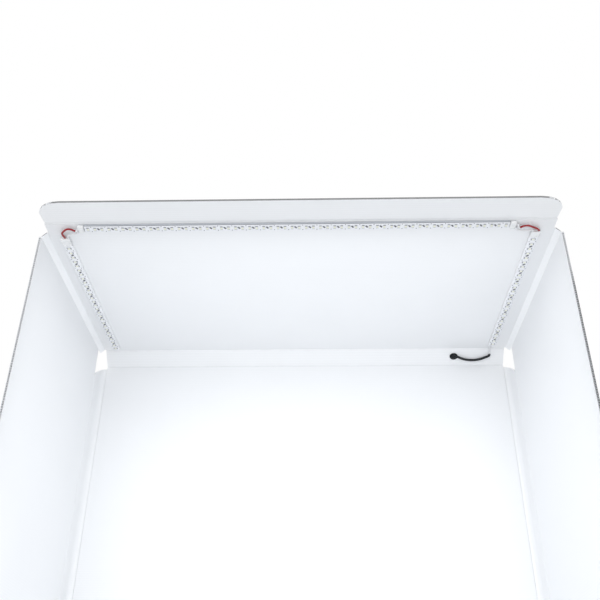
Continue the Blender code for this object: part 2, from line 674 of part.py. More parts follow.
def build_gland(materials, ceiling_spine):
    """A rubber gland: rim and dome inside, neck through the spine, rim and tail outside."""
    inner_face = -HALF - FOLD_GAP
    outer_face = HALF + FOLD_GAP
    profile = [
        (0, inner_face - GLAND_DOME_HEIGHT),
        (GLAND_DOME / 2, inner_face - GLAND_DOME_HEIGHT),
        (GLAND_RIM / 2, inner_face - GLAND_RIM_HEIGHT),
        (GLAND_RIM / 2, inner_face),
        (GLAND_NECK / 2, inner_face),
        (GLAND_NECK / 2, outer_face),
        (GLAND_RIM / 2, outer_face),
        (GLAND_RIM / 2, outer_face + GLAND_RIM_HEIGHT),
        (GLAND_TAIL / 2, outer_face + GLAND_TAIL_LENGTH),
        (0, outer_face + GLAND_TAIL_LENGTH),
    ]
    centre, outward = gland_frame()
    turn = Vector((0, 0, 1)).rotation_difference(outward).to_matrix()
    shape = bmesh.new()
    rings = []
    for radius, height in profile:
        if radius == 0:
            rings.append([shape.verts.new(centre + turn @ Vector((0, 0, height)))])
            continue
        angles = [2 * math.pi * index / GLAND_SIDES for index in range(GLAND_SIDES)]
        rings.append([
            shape.verts.new(centre + turn @ Vector((radius * math.cos(a), radius * math.sin(a), height)))
            for a in angles
        ])
    for lower, upper in zip(rings, rings[1:]):
        for index in range(GLAND_SIDES):
            after = (index + 1) % GLAND_SIDES
            corners = [lower[index % len(lower)], lower[after % len(lower)]]
            corners += [upper[after % len(upper)], upper[index % len(upper)]]
            shape.faces.new(list(dict.fromkeys(corners)))
    add_object("cable_gland", finish_mesh(shape, "cable_gland", math.radians(35)), materials["black"])

    cutter_shape = bmesh.new()
    bmesh.ops.create_cone(
        cutter_shape, cap_ends=True, segments=GLAND_SIDES,
        radius1=GLAND_HOLE / 2, radius2=GLAND_HOLE / 2, depth=4 * SHEET,
    )
    bmesh.ops.transform(cutter_shape, matrix=turn.to_4x4(), verts=cutter_shape.verts)
    bmesh.ops.translate(cutter_shape, vec=centre, verts=cutter_shape.verts)
    cutter = add_object("gland_hole_cutter", finish_mesh(cutter_shape, "gland_hole_cutter"), materials["black"])
    cutter.hide_render = True
    cutter.display_type = "WIRE"
    cut = ceiling_spine.modifiers.new("gland_hole", "BOOLEAN")
    cut.operation = "DIFFERENCE"
    cut.object = cutter


def inner_lead_route():
    """The black lead inside: from the feed wires, in a shallow bow under the spine, to the gland."""
    start = lead_start()
    near_gland = GLAND_X + GLAND_DOME / 2 + LEAD_GLAND_STANDOFF
    across = near_gland - start.x
    return [
        start,
        spine_point(start.x, 0.41, 2.2 * MM),
        spine_point(start.x + 0.09 * across, 0.49, 2.5 * MM),
        spine_point(start.x + 0.29 * across, 0.6, 3 * MM),
        spine_point(start.x + 0.53 * across, 0.65, 3.3 * MM),
        spine_point(start.x + 0.78 * across, 0.6, 3.5 * MM),
        spine_point(near_gland, GLAND_SPINE_SHARE, LEAD_GLAND_BELOW),
    ]


def outer_lead_route():
    """Out of the gland's tail, over the edge and down behind the back wall to the table."""
    centre, outward = gland_frame()
    mouth = centre + outward * (HALF + 2 * FOLD_GAP + GLAND_TAIL_LENGTH)
    x = GLAND_X
    hang_y = REAR_CREASE_Y + HANG_BEHIND_CREASE
    table_z = LEAD_DIAMETER / 2 + LEAD_TABLE_GAP
    top_z = mouth.z
    return [
        mouth,
        mouth + outward * 6 * MM,
        Vector((x, hang_y - 5.5 * MM, top_z + 6.4 * MM)),
        Vector((x, hang_y - 0.8 * MM, top_z - 1 * MM)),
        Vector((x, hang_y + 0.6 * MM, top_z - 14 * MM)),
        Vector((x, hang_y + 0.5 * MM, top_z - 60 * MM)),
        Vector((x, hang_y, 0.42)),
        Vector((x, hang_y - 1 * MM, 0.25)),
        Vector((x, hang_y - 1 * MM, 0.11)),
        Vector((x, hang_y, 40 * MM)),
        Vector((x, hang_y + 2.5 * MM, 14 * MM)),
        Vector((x, hang_y + 8.5 * MM, table_z + 2.6 * MM)),
        Vector((x, hang_y + 17 * MM, table_z)),
        Vector((x, coil_centre().y - LEAD_DIAMETER - SEAT_GAP, table_z)),
    ]


def coil_radii():
    turns_each_way = (COIL_TURNS - 0.5) / 2
    half_spread = COIL_PITCH * turns_each_way / 2
    return COIL_MIDDLE_DIAMETER / 2 + half_spread, COIL_MIDDLE_DIAMETER / 2 - half_spread


def coil_centre():
    outer, _ = coil_radii()
    return Vector((GLAND_X - outer, REAR_CREASE_Y + COIL_BEHIND_CREASE, 0))


def coil_route():
    """Loops that spiral in on the table, climb a layer in half a turn and spiral out on top."""
    centre = coil_centre()
    outer, inner = coil_radii()
    low_z = LEAD_DIAMETER / 2 + LEAD_TABLE_GAP
    inward = (COIL_TURNS - 0.5) / 2
    steps = round(COIL_TURNS * COIL_POINTS_PER_TURN)
    points = [Vector((GLAND_X, centre.y - LEAD_DIAMETER, low_z))]
    for step in range(steps + 1):
        turns = COIL_TURNS * step / steps
        if turns <= inward:
            radius, lift = outer - COIL_PITCH * turns, 0.0
        elif turns <= inward + 0.5:
            radius, lift = inner, (turns - inward) / 0.5
        else:
            radius, lift = inner + COIL_PITCH * (turns - inward - 0.5), 1.0
        angle = 2 * math.pi * turns
        offset = Vector((radius * math.cos(angle), radius * math.sin(angle), low_z + COIL_LAYER_PITCH * lift))
        points.append(centre + offset)
    end = points[-1]
    plug_z = PLUG_HEIGHT / 2 + LEAD_TABLE_GAP
    drop = end.z - plug_z
    for share, fall in ((0.25, 0.0), (0.5, 0.35), (0.75, 0.8), (0.9, 1.0), (1.0, 1.0)):
        points.append(Vector((end.x - COIL_TAIL * share, end.y, end.z - drop * fall)))
    return points


def least_gap(points):
    """The smallest gap between stretches of the tube that lie apart along it."""
    skip = COIL_POINTS_PER_TURN // 2
    least = min(
        (points[i] - points[j]).length
        for i in range(len(points)) for j in range(i + skip, len(points))
    )
    return least - LEAD_DIAMETER


def build_lead(materials):
    inner = smooth_route(inner_lead_route(), 1.5 * LEAD_DIAMETER)
    outer = smooth_route(outer_lead_route(), 2.6 * LEAD_DIAMETER)
    coil = coil_route()
    tube("inner_lead", inner, LEAD_DIAMETER, materials["black"])
    tube("outer_lead", outer, LEAD_DIAMETER, materials["black"])
    tube("lead_coil", coil, LEAD_DIAMETER, materials["black"], resolution=1)
    lengths = [route_length(route) for route in (inner, outer, coil)]
    print("lead lengths inside, outside, coil:", [round(length, 4) for length in lengths])
    print("coil least gap:", round(least_gap(coil), 5))
    return coil[-1]


def build_plug(materials, lead_end):
    """Tapered relief, moulded body, open metal shell and its tongue, lying on the table along -X."""
    start_x = lead_end.x - SEAT_GAP
    y, z = lead_end.y, lead_end.z
    relief = bmesh.new()
    bmesh.ops.create_cone(
        relief, cap_ends=True, segments=16,
        radius1=LEAD_DIAMETER / 2 + RELIEF_WALL, radius2=RELIEF_END / 2, depth=RELIEF_LENGTH,
    )
    bmesh.ops.rotate(relief, matrix=Matrix.Rotation(-math.pi / 2, 3, "Y"), verts=relief.verts)
    bmesh.ops.translate(relief, vec=(start_x - RELIEF_LENGTH / 2, y, z), verts=relief.verts)
    add_object("plug_strain_relief", finish_mesh(relief, "plug_strain_relief", math.radians(40)), materials["black"])

    body_x = start_x - RELIEF_LENGTH - SEAT_GAP
    rounded_block(
        "plug_body", Vector((PLUG_LENGTH, PLUG_WIDTH, PLUG_HEIGHT)),
        Vector((body_x - PLUG_LENGTH / 2, y, z)), PLUG_ROUNDING, 3, materials["black"],
    )

    shell_x = body_x - PLUG_LENGTH - SEAT_GAP
    outer = [(-1, -1), (1, -1), (1, 1), (-1, 1)]
    shape = bmesh.new()
    rings = []
    sections = (
        (shell_x, 0), (shell_x - SHELL_LENGTH, 0),
        (shell_x - SHELL_LENGTH, SHELL_WALL), (shell_x - SHELL_WALL, SHELL_WALL),
    )
    for x, inset in sections:
        rings.append([
            shape.verts.new((x, y + a * (SHELL_WIDTH / 2 - inset), z + b * (SHELL_HEIGHT / 2 - inset)))
            for a, b in outer
        ])
    for near, far in zip(rings, rings[1:]):
        for index in range(4):
            after = (index + 1) % 4
            shape.faces.new((near[index], near[after], far[after], far[index]))
    shape.faces.new(rings[0])
    shape.faces.new(rings[-1])
    add_object("plug_shell", finish_mesh(shape, "plug_shell"), materials["metal"])

    tongue_x = shell_x - SHELL_WALL - SEAT_GAP - TONGUE_LENGTH / 2
    tongue_z = z + SHELL_HEIGHT / 2 - SHELL_WALL - SEAT_GAP - TONGUE_HEIGHT / 2
    rounded_block(
        "plug_tongue", Vector((TONGUE_LENGTH, TONGUE_WIDTH, TONGUE_HEIGHT)),
        Vector((tongue_x, y, tongue_z)), TONGUE_ROUNDING, 1, materials["white"],
    )


def main():
    clear_scene()
    materials = make_materials()
    ceiling_spine = build_spines(materials)
    build_back_wall(materials)
    build_corner_spine("left_corner_spine", -1, materials)
    build_corner_spine("right_corner_spine", 1, materials)

    ceiling_pivot = pivot_at("ceiling_pivot", (0, REAR_CREASE_Y, CEILING_CREASE_Z))
    flap_pivot = pivot_at("flap_pivot", (0, FRONT_Y, CEILING_CREASE_Z))
    floor_pivot = pivot_at("floor_pivot", (0, REAR_CREASE_Y, FLOOR_CREASE_Z))
    build_ceiling(materials, ceiling_pivot)
    build_flap(materials, flap_pivot)
    build_floor(materials, floor_pivot)
    for side_name, side in (("left", -1), ("right", 1)):
        flange_pivot = pivot_at(f"{side_name}_flange_pivot", (side * CEILING_HALF, 0, FLANGE_CREASE_Z))
        wall_pivot = pivot_at(f"{side_name}_wall_pivot", (side * WALL_CREASE_X, WALL_CREASE_Y, 0))
        build_flange(f"{side_name}_ceiling_flange", side, materials, flange_pivot)
        build_side_wall(f"{side_name}_side_wall", side, materials, wall_pivot)

    build_strips(materials, ceiling_pivot)
    build_end_caps(materials, ceiling_pivot)
    build_jumpers(materials, ceiling_pivot)
    build_feed_wires(materials, ceiling_pivot)
    build_gland(materials, ceiling_spine)
    lead_end = build_lead(materials)
    build_plug(materials, lead_end)


main()
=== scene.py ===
"""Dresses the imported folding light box: twin-wall sheet, creases, LED strips, wires, lead and studio."""
import math

import bmesh
import bpy
from bpy.props import FloatProperty, FloatVectorProperty, IntProperty, PointerProperty
from mathutils import Matrix, Vector, noise


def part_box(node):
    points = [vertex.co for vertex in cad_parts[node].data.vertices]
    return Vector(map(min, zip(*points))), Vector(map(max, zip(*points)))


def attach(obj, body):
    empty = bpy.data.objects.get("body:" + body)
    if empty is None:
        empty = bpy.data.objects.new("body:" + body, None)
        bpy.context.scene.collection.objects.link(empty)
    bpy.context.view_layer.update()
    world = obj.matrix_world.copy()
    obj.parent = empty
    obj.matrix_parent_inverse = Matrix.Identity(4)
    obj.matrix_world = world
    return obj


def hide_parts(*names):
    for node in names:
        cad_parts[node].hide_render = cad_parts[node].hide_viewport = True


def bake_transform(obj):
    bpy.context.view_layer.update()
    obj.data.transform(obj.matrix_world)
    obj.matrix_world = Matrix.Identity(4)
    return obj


bl_info = {
    "name": "Folding photo light box",
    "version": (1, 0, 0),
    "blender": (4, 5, 0),
    "location": "View3D > Sidebar > Light box",
    "description": "Builds the sheet, LED strips, wiring and studio of a folding photo light box",
    "category": "Object",
}

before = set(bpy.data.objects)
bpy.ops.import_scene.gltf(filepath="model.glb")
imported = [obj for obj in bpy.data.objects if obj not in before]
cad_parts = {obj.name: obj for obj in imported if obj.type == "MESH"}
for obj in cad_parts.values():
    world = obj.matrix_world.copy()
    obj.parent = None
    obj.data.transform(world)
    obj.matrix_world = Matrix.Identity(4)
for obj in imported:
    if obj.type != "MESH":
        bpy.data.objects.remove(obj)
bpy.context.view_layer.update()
MM = 0.001

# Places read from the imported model
CEILING_LOW, CEILING_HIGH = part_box("ceiling_panel")
SPINE_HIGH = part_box("ceiling_spine")[1]
BACK_LOW, BACK_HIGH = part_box("back_wall")
WALL_LOW, WALL_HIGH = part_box("right_side_wall")
FLOOR_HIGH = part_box("floor_panel")[1]
CORNER_LOW, CORNER_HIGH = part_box("right_corner_spine")
FLANGE_LOW, FLANGE_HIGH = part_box("right_ceiling_flange")
FLAP_LOW, FLAP_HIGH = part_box("front_flap")
SHEET = CEILING_HIGH.z - CEILING_LOW.z
HALF = SHEET / 2
FRONT_Y = CEILING_LOW.y + HALF
REAR_Y = CEILING_HIGH.y - HALF
CEILING_Z = CEILING_HIGH.z - HALF
BACK_Y = BACK_HIGH.y - HALF
BACK_TOP_Z = BACK_HIGH.z - HALF
BACK_FOOT_Z = BACK_LOW.z + HALF
FLOOR_Z = FLOOR_HIGH.z - HALF
WALL_X = WALL_HIGH.x - HALF
WALL_Y = WALL_HIGH.y - HALF
SPINE_ANGLE = math.atan2(CEILING_Z - BACK_TOP_Z, BACK_Y - REAR_Y)
SPINE_LENGTH = math.hypot(CEILING_Z - BACK_TOP_Z, BACK_Y - REAR_Y)

# The front flap and the flanges
FLAP_TILT = math.radians(12)
FLAP_CORNER_ACROSS = 26 * MM
FLAP_CORNER_ALONG = 15 * MM
FLAP_SPLITS = 4
FLAP_TAPER = 2.5 * MM
FLANGE_BEND = math.radians(45)
FLANGE_SHEET = 1.2 * MM
FLANGE_TIP_SHEET = 0.26 * MM
FLANGE_WALL_GAP = 0.2 * MM
FLANGE_RIPPLE = 0.06 * MM
FLANGE_STEPS_PER_FLUTE = 4
FLANGE_STATIONS = (0.3, 0.5, 0.7, 0.82, 0.92, 1.0)
FLANGE_THINS_FROM = 0.7

# Twin-wall sheet and creases
FLUTE_PITCH = 3 * MM
FLUTE_SKIN = 0.5 * MM
FLUTE_RIB = 0.7 * MM
CREASE_EMBED = 1.2 * MM
CREASE_WIDTH = 2.4 * MM
CREASE_PINCH_SHARE = 0.5
CREASE_STEPS = 9
CREASE_INSET = 0.05 * MM
CREASE_GAP = 0.3 * MM
CORNER_CUT = 27 * MM
# The sheet's cut faces are painted a little darker than the sheet: painted shade of the open flutes
CUT_EDGE_SHADE_SHARE = 0.82
# The flap's and flanges' cut edges are painted a quarter as bright as the sheet: painted shade
FLAP_EDGE_SHADE_SHARE = 0.25
# The flanges are painted brighter than the sheet: painted light of their bright band
FLANGE_LIGHT_SHARE = 1.09
# Painted shadow line: near-black painted shade along the outer side of the right wall's cut edge, below a
# set height
SHADOW_LINE_WIDTH = 1.9 * MM
SHADOW_LINE_TOP = 0.545
SHADOW_LINE_FADE = 30 * MM
PAINTED_SHADOW_COLOUR = (0.012, 0.013, 0.015, 1.0)
WORN_SHEET_SHARE = 0.965
RIB_TINT_SHARE = 1.018
SHEET_GRAIN_SHARE = 0.12
SPINE_TURN = math.pi / 2 - SPINE_ANGLE
SPINE_SETBACK = (HALF + CREASE_GAP + HALF * math.cos(SPINE_TURN)) / math.sin(SPINE_TURN)
FLANGE_X = CEILING_HIGH.x + FLANGE_SHEET / 2 + CREASE_GAP
FLANGE_Z = CEILING_LOW.z + FLANGE_SHEET / 2

# LED strips
FRONT_LEDS = 60
SIDE_LEDS = 28
LED_LENGTH = 3.4 * MM
LED_WIDTH = 3.5 * MM
LED_HEIGHT = 0.8 * MM
LED_WINDOW_LENGTH = 2.4 * MM
LED_WINDOW_WIDTH = 3 * MM
LED_WINDOW_CORNER = 1 * MM
LED_WINDOW_FLOOR_CORNER = LED_WINDOW_LENGTH / 2.8
LED_RECESS = 0.18 * MM
LED_BEVEL = 0.07 * MM
LED_CORNER = 0.25 * MM
LED_TAB = 1.1 * MM
LED_TAB_WIDTH = 3 * MM
LED_TAB_HEIGHT = 0.34 * MM
CHIP_LENGTH = 3.6 * MM
CHIP_WIDTH = 1.7 * MM
CHIP_HEIGHT = 0.5 * MM
CHIP_END = 0.36 * MM
CHIP_EDGE = 0.06 * MM
CHIP_TURN = math.radians(38)
CHIP_SHIFT = 0.4 * MM
CHIP_EVERY = 2
PAD_RADIUS = 0.75 * MM
PAD_TOP_RADIUS = 0.6 * MM
PAD_HEIGHT = 0.05 * MM
PAD_SIDES = 12
PAD_ACROSS_SHARE = 0.36
BOARD_EDGE = 0.12 * MM
BOARD_THICKNESS = 0.6 * MM

# Glue caps, sleeves and wires
CAP_WOBBLE = 0.3 * MM
CAP_NOISE_SCALE = 420
CAP_NOISE_LEVEL = 0.35
CAP_SQUARENESS_SHARE = 0.36
CAP_SUBDIVISIONS = 5
JUMPER_DIAMETER = 2.3 * MM
SLEEVE_DIAMETER = 2.8 * MM
JUMPER_EASING = 10
DECLARED_CORD = 30 * MM
FEED_DIAMETER = 1.4 * MM
FEED_SPACING = 0.0018
WIRE_SPACING = 0.9 * MM

# Supply lead, gland and plug
LEAD_DIAMETER = 3.5 * MM
LEAD_SPACING = 2.2 * MM
COIL_TURNS = 6.25
COIL_PITCH = 4.45 * MM
COIL_TAIL = 14 * MM
COIL_TAIL_FALLS = ((0.25, 0.0), (0.5, 0.35), (0.75, 0.8), (0.9, 1.0), (1.0, 1.0))
COIL_POINTS_PER_TURN = 40
LEAD_TABLE_GAP = 0.1 * MM
GLAND_GAP = 0.3 * MM
GLAND_NECK = 8 * MM
GLAND_RIM = 12 * MM
GLAND_RIM_HEIGHT = 1.6 * MM
GLAND_DOME = 7.6 * MM
GLAND_DOME_HEIGHT = 3.2 * MM
GLAND_SPINE_SHARE = 0.46
GLAND_TAIL = 5.2 * MM
GLAND_TAIL_LENGTH = 10 * MM
GLAND_GROOVE = 0.35 * MM
GLAND_GROOVES = 4
GLAND_GROOVE_SHARES = (0.05, 0.5, 0.58, 0.9)
GLAND_DOME_STEPS = 6
GLAND_DOME_TOP_SHARE = 0.55
GLAND_SIDES = 48
GLAND_OVAL_SHARE = 0.82
RELIEF_GROOVE = 0.45 * MM
RELIEF_GROOVES = 6
RELIEF_GROOVE_SHARES = (0.0, 0.55, 0.62, 0.95)
RELIEF_SIDES = 32
PLUG_ROUNDING_SHARE = 0.2
PLUG_ROUNDING_SEGMENTS = 5
PLUG_RIDGE = 0.35 * MM
PLUG_RIDGES = 6
PLUG_RIDGE_START = 0.25
PLUG_RIDGE_SPAN = 0.55
PLUG_RIDGE_HEIGHT_SHARE = 0.55
CONTACT_WIDTH = 1.1 * MM
CONTACT_HEIGHT = 0.12 * MM
CONTACTS = 4
CONTACT_LENGTH_SHARE = 0.8

# Faces that meet at less than these angles are shaded as one, and curves are read in these steps
ROUND_ANGLE = math.radians(50)
LATHE_ANGLE = math.radians(38)
LED_ANGLE = math.radians(30)
PAD_ANGLE = math.radians(40)
ROUTE_STEPS = 12

# Routes of the lead and the wires, repeated from the part's source
INNER_LEAD = [
    (0.2755, 0.1581, 0.5894), (0.2755, 0.1595, 0.5880), (0.2713, 0.1609, 0.5863), (0.2619, 0.1628, 0.5838),
    (0.2507, 0.1636, 0.5826), (0.2390, 0.1625, 0.5834), (0.2287, 0.1592, 0.5857),
]
OUTER_LEAD = [
    (0.2233, 0.1712, 0.5986), (0.2233, 0.1753, 0.6030), (0.2233, 0.1791, 0.6050), (0.2233, 0.1838, 0.5976),
    (0.2233, 0.1852, 0.5846), (0.2233, 0.1851, 0.5386), (0.2233, 0.1846, 0.4200), (0.2233, 0.1836, 0.2500),
    (0.2233, 0.1836, 0.1100), (0.2233, 0.1846, 0.0400), (0.2233, 0.1871, 0.0140), (0.2233, 0.1931, 0.0044),
    (0.2233, 0.2016, 0.0019), (0.2233, 0.2068, 0.0019),
]
COIL_CENTRE = (0.196903, 0.210584)
COIL_OUTER = 0.026397
COIL_INNER = 0.013603
JUMPERS = {
    "left_red_jumper": [
        (-0.2634, -0.1356, 0.5941), (-0.2644, -0.1359, 0.5941), (-0.2672, -0.1384, 0.5941),
        (-0.2714, -0.1401, 0.5934), (-0.2753, -0.1376, 0.5934), (-0.2798, -0.1328, 0.5934),
        (-0.2803, -0.1278, 0.5941), (-0.2791, -0.1230, 0.5941),
    ],
    "right_red_jumper": [
        (0.2569, -0.1342, 0.5941), (0.2578, -0.1347, 0.5941), (0.2602, -0.1368, 0.5941),
        (0.2656, -0.1382, 0.5934), (0.2725, -0.1349, 0.5934), (0.2768, -0.1322, 0.5934),
        (0.2802, -0.1284, 0.5941),
    ],
    "left_white_jumper": [
        (-0.2599, -0.1343, 0.5941), (-0.2607, -0.1332, 0.5941), (-0.2628, -0.1314, 0.5941),
        (-0.2720, -0.1294, 0.5934), (-0.2750, -0.1264, 0.5941), (-0.2758, -0.1230, 0.5941),
    ],
    "right_white_jumper": [
        (0.2522, -0.1343, 0.5941), (0.2528, -0.1334, 0.5941), (0.2536, -0.1302, 0.5941),
        (0.2650, -0.1292, 0.5934), (0.2716, -0.1298, 0.5941), (0.2730, -0.1284, 0.5941),
    ],
}
SLEEVES = {
    "left_wire_sleeve": [
        (-0.2596, -0.1376, 0.5941), (-0.2604, -0.1375, 0.5941), (-0.2613, -0.1364, 0.5941),
        (-0.2620, -0.1357, 0.5941), (-0.2628, -0.1356, 0.5941),
    ],
    "right_wire_sleeve": [
        (0.2519, -0.1394, 0.5941), (0.2528, -0.1392, 0.5941), (0.2539, -0.1375, 0.5941),
        (0.2545, -0.1352, 0.5941), (0.2551, -0.1343, 0.5941), (0.2560, -0.1342, 0.5941),
    ],
}
FEED_PLUS = [
    (0.2764, 0.1401, 0.5957), (0.2764, 0.1427, 0.5953), (0.2764, 0.1453, 0.5948), (0.2764, 0.1479, 0.5944),
    (0.2764, 0.1505, 0.5939), (0.2764, 0.1531, 0.5933), (0.2764, 0.1555, 0.5923), (0.2764, 0.1572, 0.5903),
]
FEED_MINUS = [(x - FEED_SPACING, y, z) for x, y, z in FEED_PLUS]

# The camera, which looks up from low in front
CAMERA_PLACE = (0.0211, -0.8387, 0.0306)
CAMERA_YAW = math.radians(1.565)
CAMERA_PITCH = math.radians(30.418)
CAMERA_ROLL = math.radians(0.412)
CAMERA_LENS = 45.826
CAMERA_SHIFT = 0.0667
CAMERA_CLIP = 10 * MM

# Each light's place, target and size; the settings give its power
LIGHTS = {
    "front": ((-0.3, -2.0, 0.9), (0, 0.1, 0.35), (2.4, 1.6)),
    "opening": ((0, -0.14, 0.3), (0, 0.17, 0.3), (0.55, 0.5)),
    "top": ((0.3, 0.4, 2.2), (0, 0.0, 0.3), (1.6, 1.6)),
}
FLOOR_REACH = 4.0

# What settings of one kind have in common
COLOUR = {"subtype": "COLOR", "size": 3, "min": 0, "max": 1}
LENGTH = {"unit": "LENGTH", "precision": 5}
POWER = {"unit": "POWER", "min": 0}


class LightBoxSheet(bpy.types.PropertyGroup):
    """Sizes and colours of the twin-wall sheet."""

    colour: FloatVectorProperty(
        name="Sheet colour", description="Colour of the white plastic sheet",
        default=(0.87, 0.885, 0.905), **COLOUR,
    )
    flute_pitch: FloatProperty(
        name="Flute pitch", description="Distance from one rib between the skins to the next",
        default=FLUTE_PITCH, **LENGTH,
    )
    skin: FloatProperty(
        name="Skin", description="Thickness of each outer skin of the sheet",
        default=FLUTE_SKIN, **LENGTH,
    )
    rib: FloatProperty(
        name="Rib", description="Thickness of the ribs between the skins",
        default=FLUTE_RIB, **LENGTH,
    )
    crease_width: FloatProperty(
        name="Crease width", description="Half the width of the groove pressed along each crease",
        default=CREASE_WIDTH, **LENGTH,
    )


class LightBoxStrip(bpy.types.PropertyGroup):
    """Colours and counts of the LED strips."""

    board_colour: FloatVectorProperty(
        name="Board colour", description="Colour of the strips' solder mask",
        default=(0.90, 0.915, 0.95), **COLOUR,
    )
    phosphor_colour: FloatVectorProperty(
        name="Phosphor colour", description="Colour of the unlit LED windows",
        default=(0.94, 0.95, 0.76), **COLOUR,
    )
    # The front strip's tape is grey as painted shade on its shaded front face; the side tapes keep the
    # foam's own white
    tape_colour: FloatVectorProperty(
        name="Tape colour", description="Colour of the foam tape that holds the strips",
        default=(0.50, 0.53, 0.57), **COLOUR,
    )
    side_tape_colour: FloatVectorProperty(
        name="Side tape colour", description="Colour of the side strips' foam tape",
        default=(0.93, 0.94, 0.96), **COLOUR,
    )
    front_leds: IntProperty(
        name="Front LEDs", description="LEDs on the front strip",
        default=FRONT_LEDS, min=1,
    )
    side_leds: IntProperty(
        name="Side LEDs", description="LEDs on each side strip",
        default=SIDE_LEDS, min=1,
    )


class LightBoxWiring(bpy.types.PropertyGroup):
    """Colours of the wires, the lead and its gland."""

    red: FloatVectorProperty(
        name="Red wire", description="Colour of the red insulation",
        default=(0.3, 0.009, 0.014), **COLOUR,
    )
    white: FloatVectorProperty(
        name="White wire", description="Colour of the white insulation and sleeves",
        default=(0.80, 0.81, 0.83), **COLOUR,
    )
    black: FloatVectorProperty(
        name="Black jacket", description="Colour of the lead's jacket and the gland",
        default=(0.009, 0.0105, 0.0135), **COLOUR,
    )


class LightBoxStudio(bpy.types.PropertyGroup):
    """Floor, backdrop and lights."""

    floor_colour: FloatVectorProperty(
        name="Floor colour", description="Colour of the studio floor",
        default=(0.86, 0.865, 0.87), **COLOUR,
    )
    ambient: FloatProperty(
        name="Ambient", description="Strength of the white surroundings",
        default=0.88, min=0,
    )
    front_power: FloatProperty(
        name="Front light", description="Power of the large front light",
        default=14.0, **POWER,
    )
    opening_power: FloatProperty(
        name="Opening light", description="Power of the broad light in the opening",
        default=0.42, **POWER,
    )
    top_power: FloatProperty(
        name="Top light", description="Power of the light above",
        default=1.0, **POWER,
    )


# Small helpers for meshes and pieces

def chosen(group):
    """The settings of one group: sheet, strip, wiring or studio."""
    return getattr(bpy.context.scene, f"light_box_{group}")


def mesh_from(name, points, faces, smooth_angle=None):
    mesh = bpy.data.meshes.new(name)
    mesh.from_pydata([tuple(point) for point in points], [], faces)
    shape = bmesh.new()
    shape.from_mesh(mesh)
    bmesh.ops.recalc_face_normals(shape, faces=shape.faces)
    shape.to_mesh(mesh)
    shape.free()
    if smooth_angle is not None:
        mesh.shade_smooth()
        mesh.set_sharp_from_angle(angle=smooth_angle)
    return mesh


def mesh_of(name, shape):
    mesh = bpy.data.meshes.new(name)
    shape.to_mesh(mesh)
    shape.free()
    return mesh


def bevelled_boxes(name, boxes, offset, segments):
    """One mesh of boxes with rounded edges, each given by its size and its centre."""
    shape = bmesh.new()
    for size, centre in boxes:
        made = bmesh.ops.create_cube(shape, size=1.0)["verts"]
        bmesh.ops.scale(shape, vec=size, verts=made)
        bmesh.ops.translate(shape, vec=centre, verts=made)
    edges = shape.edges[:]
    bmesh.ops.bevel(shape, geom=edges, offset=offset, segments=segments, profile=0.5, affect="EDGES")
    return mesh_of(name, shape)


def bands(rings, count):
    """Faces that join each ring of count points to the next one."""
    faces = []
    for start in range(0, (rings - 1) * count, count):
        for index in range(count):
            after = (index + 1) % count
            faces.append((start + index, start + after, start + count + after, start + count + index))
    return faces


def end_strips(starts, count):
    """Faces that close rings whose first half lies over their second half, which runs back."""
    return [
        (start + index, start + index + 1, start + count - 2 - index, start + count - 1 - index)
        for start in starts for index in range(count // 2 - 1)
    ]


def add_piece(name, data, finishes, body=None, replaced=()):
    """Link a piece with its finishes, let it ride on its body, and let it stand for CAD nodes."""
    piece = bpy.data.objects.new(name, data)
    bpy.context.scene.collection.objects.link(piece)
    for one in [finishes] if isinstance(finishes, str) else finishes:
        data.materials.append(finish(one))
    if body is not None:
        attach(piece, body)
    if replaced:
        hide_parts(*replaced)
    return piece


def dress_node(name, finish_name):
    """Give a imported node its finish."""
    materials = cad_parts[name].data.materials
    materials.clear()
    materials.append(finish(finish_name))


def smooth_route(points, spacing):
    """Read a Catmull-Rom curve through the route's points at about this spacing."""
    knots = [Vector(point) for point in points]
    knots = [2 * knots[0] - knots[1]] + knots + [2 * knots[-1] - knots[-2]]
    fine = []
    for before, start, end, after in zip(knots, knots[1:], knots[2:], knots[3:]):
        for step in range(ROUTE_STEPS):
            t = step / ROUTE_STEPS
            fine.append(0.5 * (
                2 * start + (end - before) * t
                + (2 * before - 5 * start + 4 * end - after) * t ** 2
                + (3 * start - before - 3 * end + after) * t ** 3
            ))
    fine.append(knots[-2])
    lengths = [0.0]
    for first, second in zip(fine, fine[1:]):
        lengths.append(lengths[-1] + (second - first).length)
    count = max(2, round(lengths[-1] / spacing))
    route, index = [], 0
    for step in range(count + 1):
        target = lengths[-1] * step / count
        while index < len(fine) - 2 and lengths[index + 1] < target:
            index += 1
        share = (target - lengths[index]) / (lengths[index + 1] - lengths[index])
        route.append(fine[index].lerp(fine[index + 1], share))
    return route


def route_length(points):
    return sum((second - first).length for first, second in zip(points, points[1:]))


def wire_curve(name, points, diameter, resolution=5):
    curve = bpy.data.curves.new(name, "CURVE")
    curve.dimensions = "3D"
    curve.bevel_depth = diameter / 2
    curve.bevel_resolution = resolution
    curve.use_fill_caps = True
    spline = curve.splines.new("POLY")
    spline.points.add(len(points) - 1)
    for target, point in zip(spline.points, points):
        target.co = (*point, 1.0)
    spline.use_smooth = True
    return curve


def tube_mesh(name, points, diameter, sides=12):
    """A mesh tube with closed ends along a route."""
    verts = []
    side_axis = None
    for index, point in enumerate(points):
        ahead = points[min(index + 1, len(points) - 1)] - points[max(index - 1, 0)]
        ahead.normalize()
        if side_axis is None:
            side_axis = ahead.orthogonal().normalized()
        side_axis = (side_axis - ahead * side_axis.dot(ahead)).normalized()
        other = ahead.cross(side_axis)
        for side in range(sides):
            turn = 2 * math.pi * side / sides
            verts.append(point + diameter / 2 * (side_axis * math.cos(turn) + other * math.sin(turn)))
    lids = [tuple(range(sides)), tuple(range(len(verts) - sides, len(verts)))]
    return mesh_from(name, verts, bands(len(points), sides) + lids, ROUND_ANGLE)


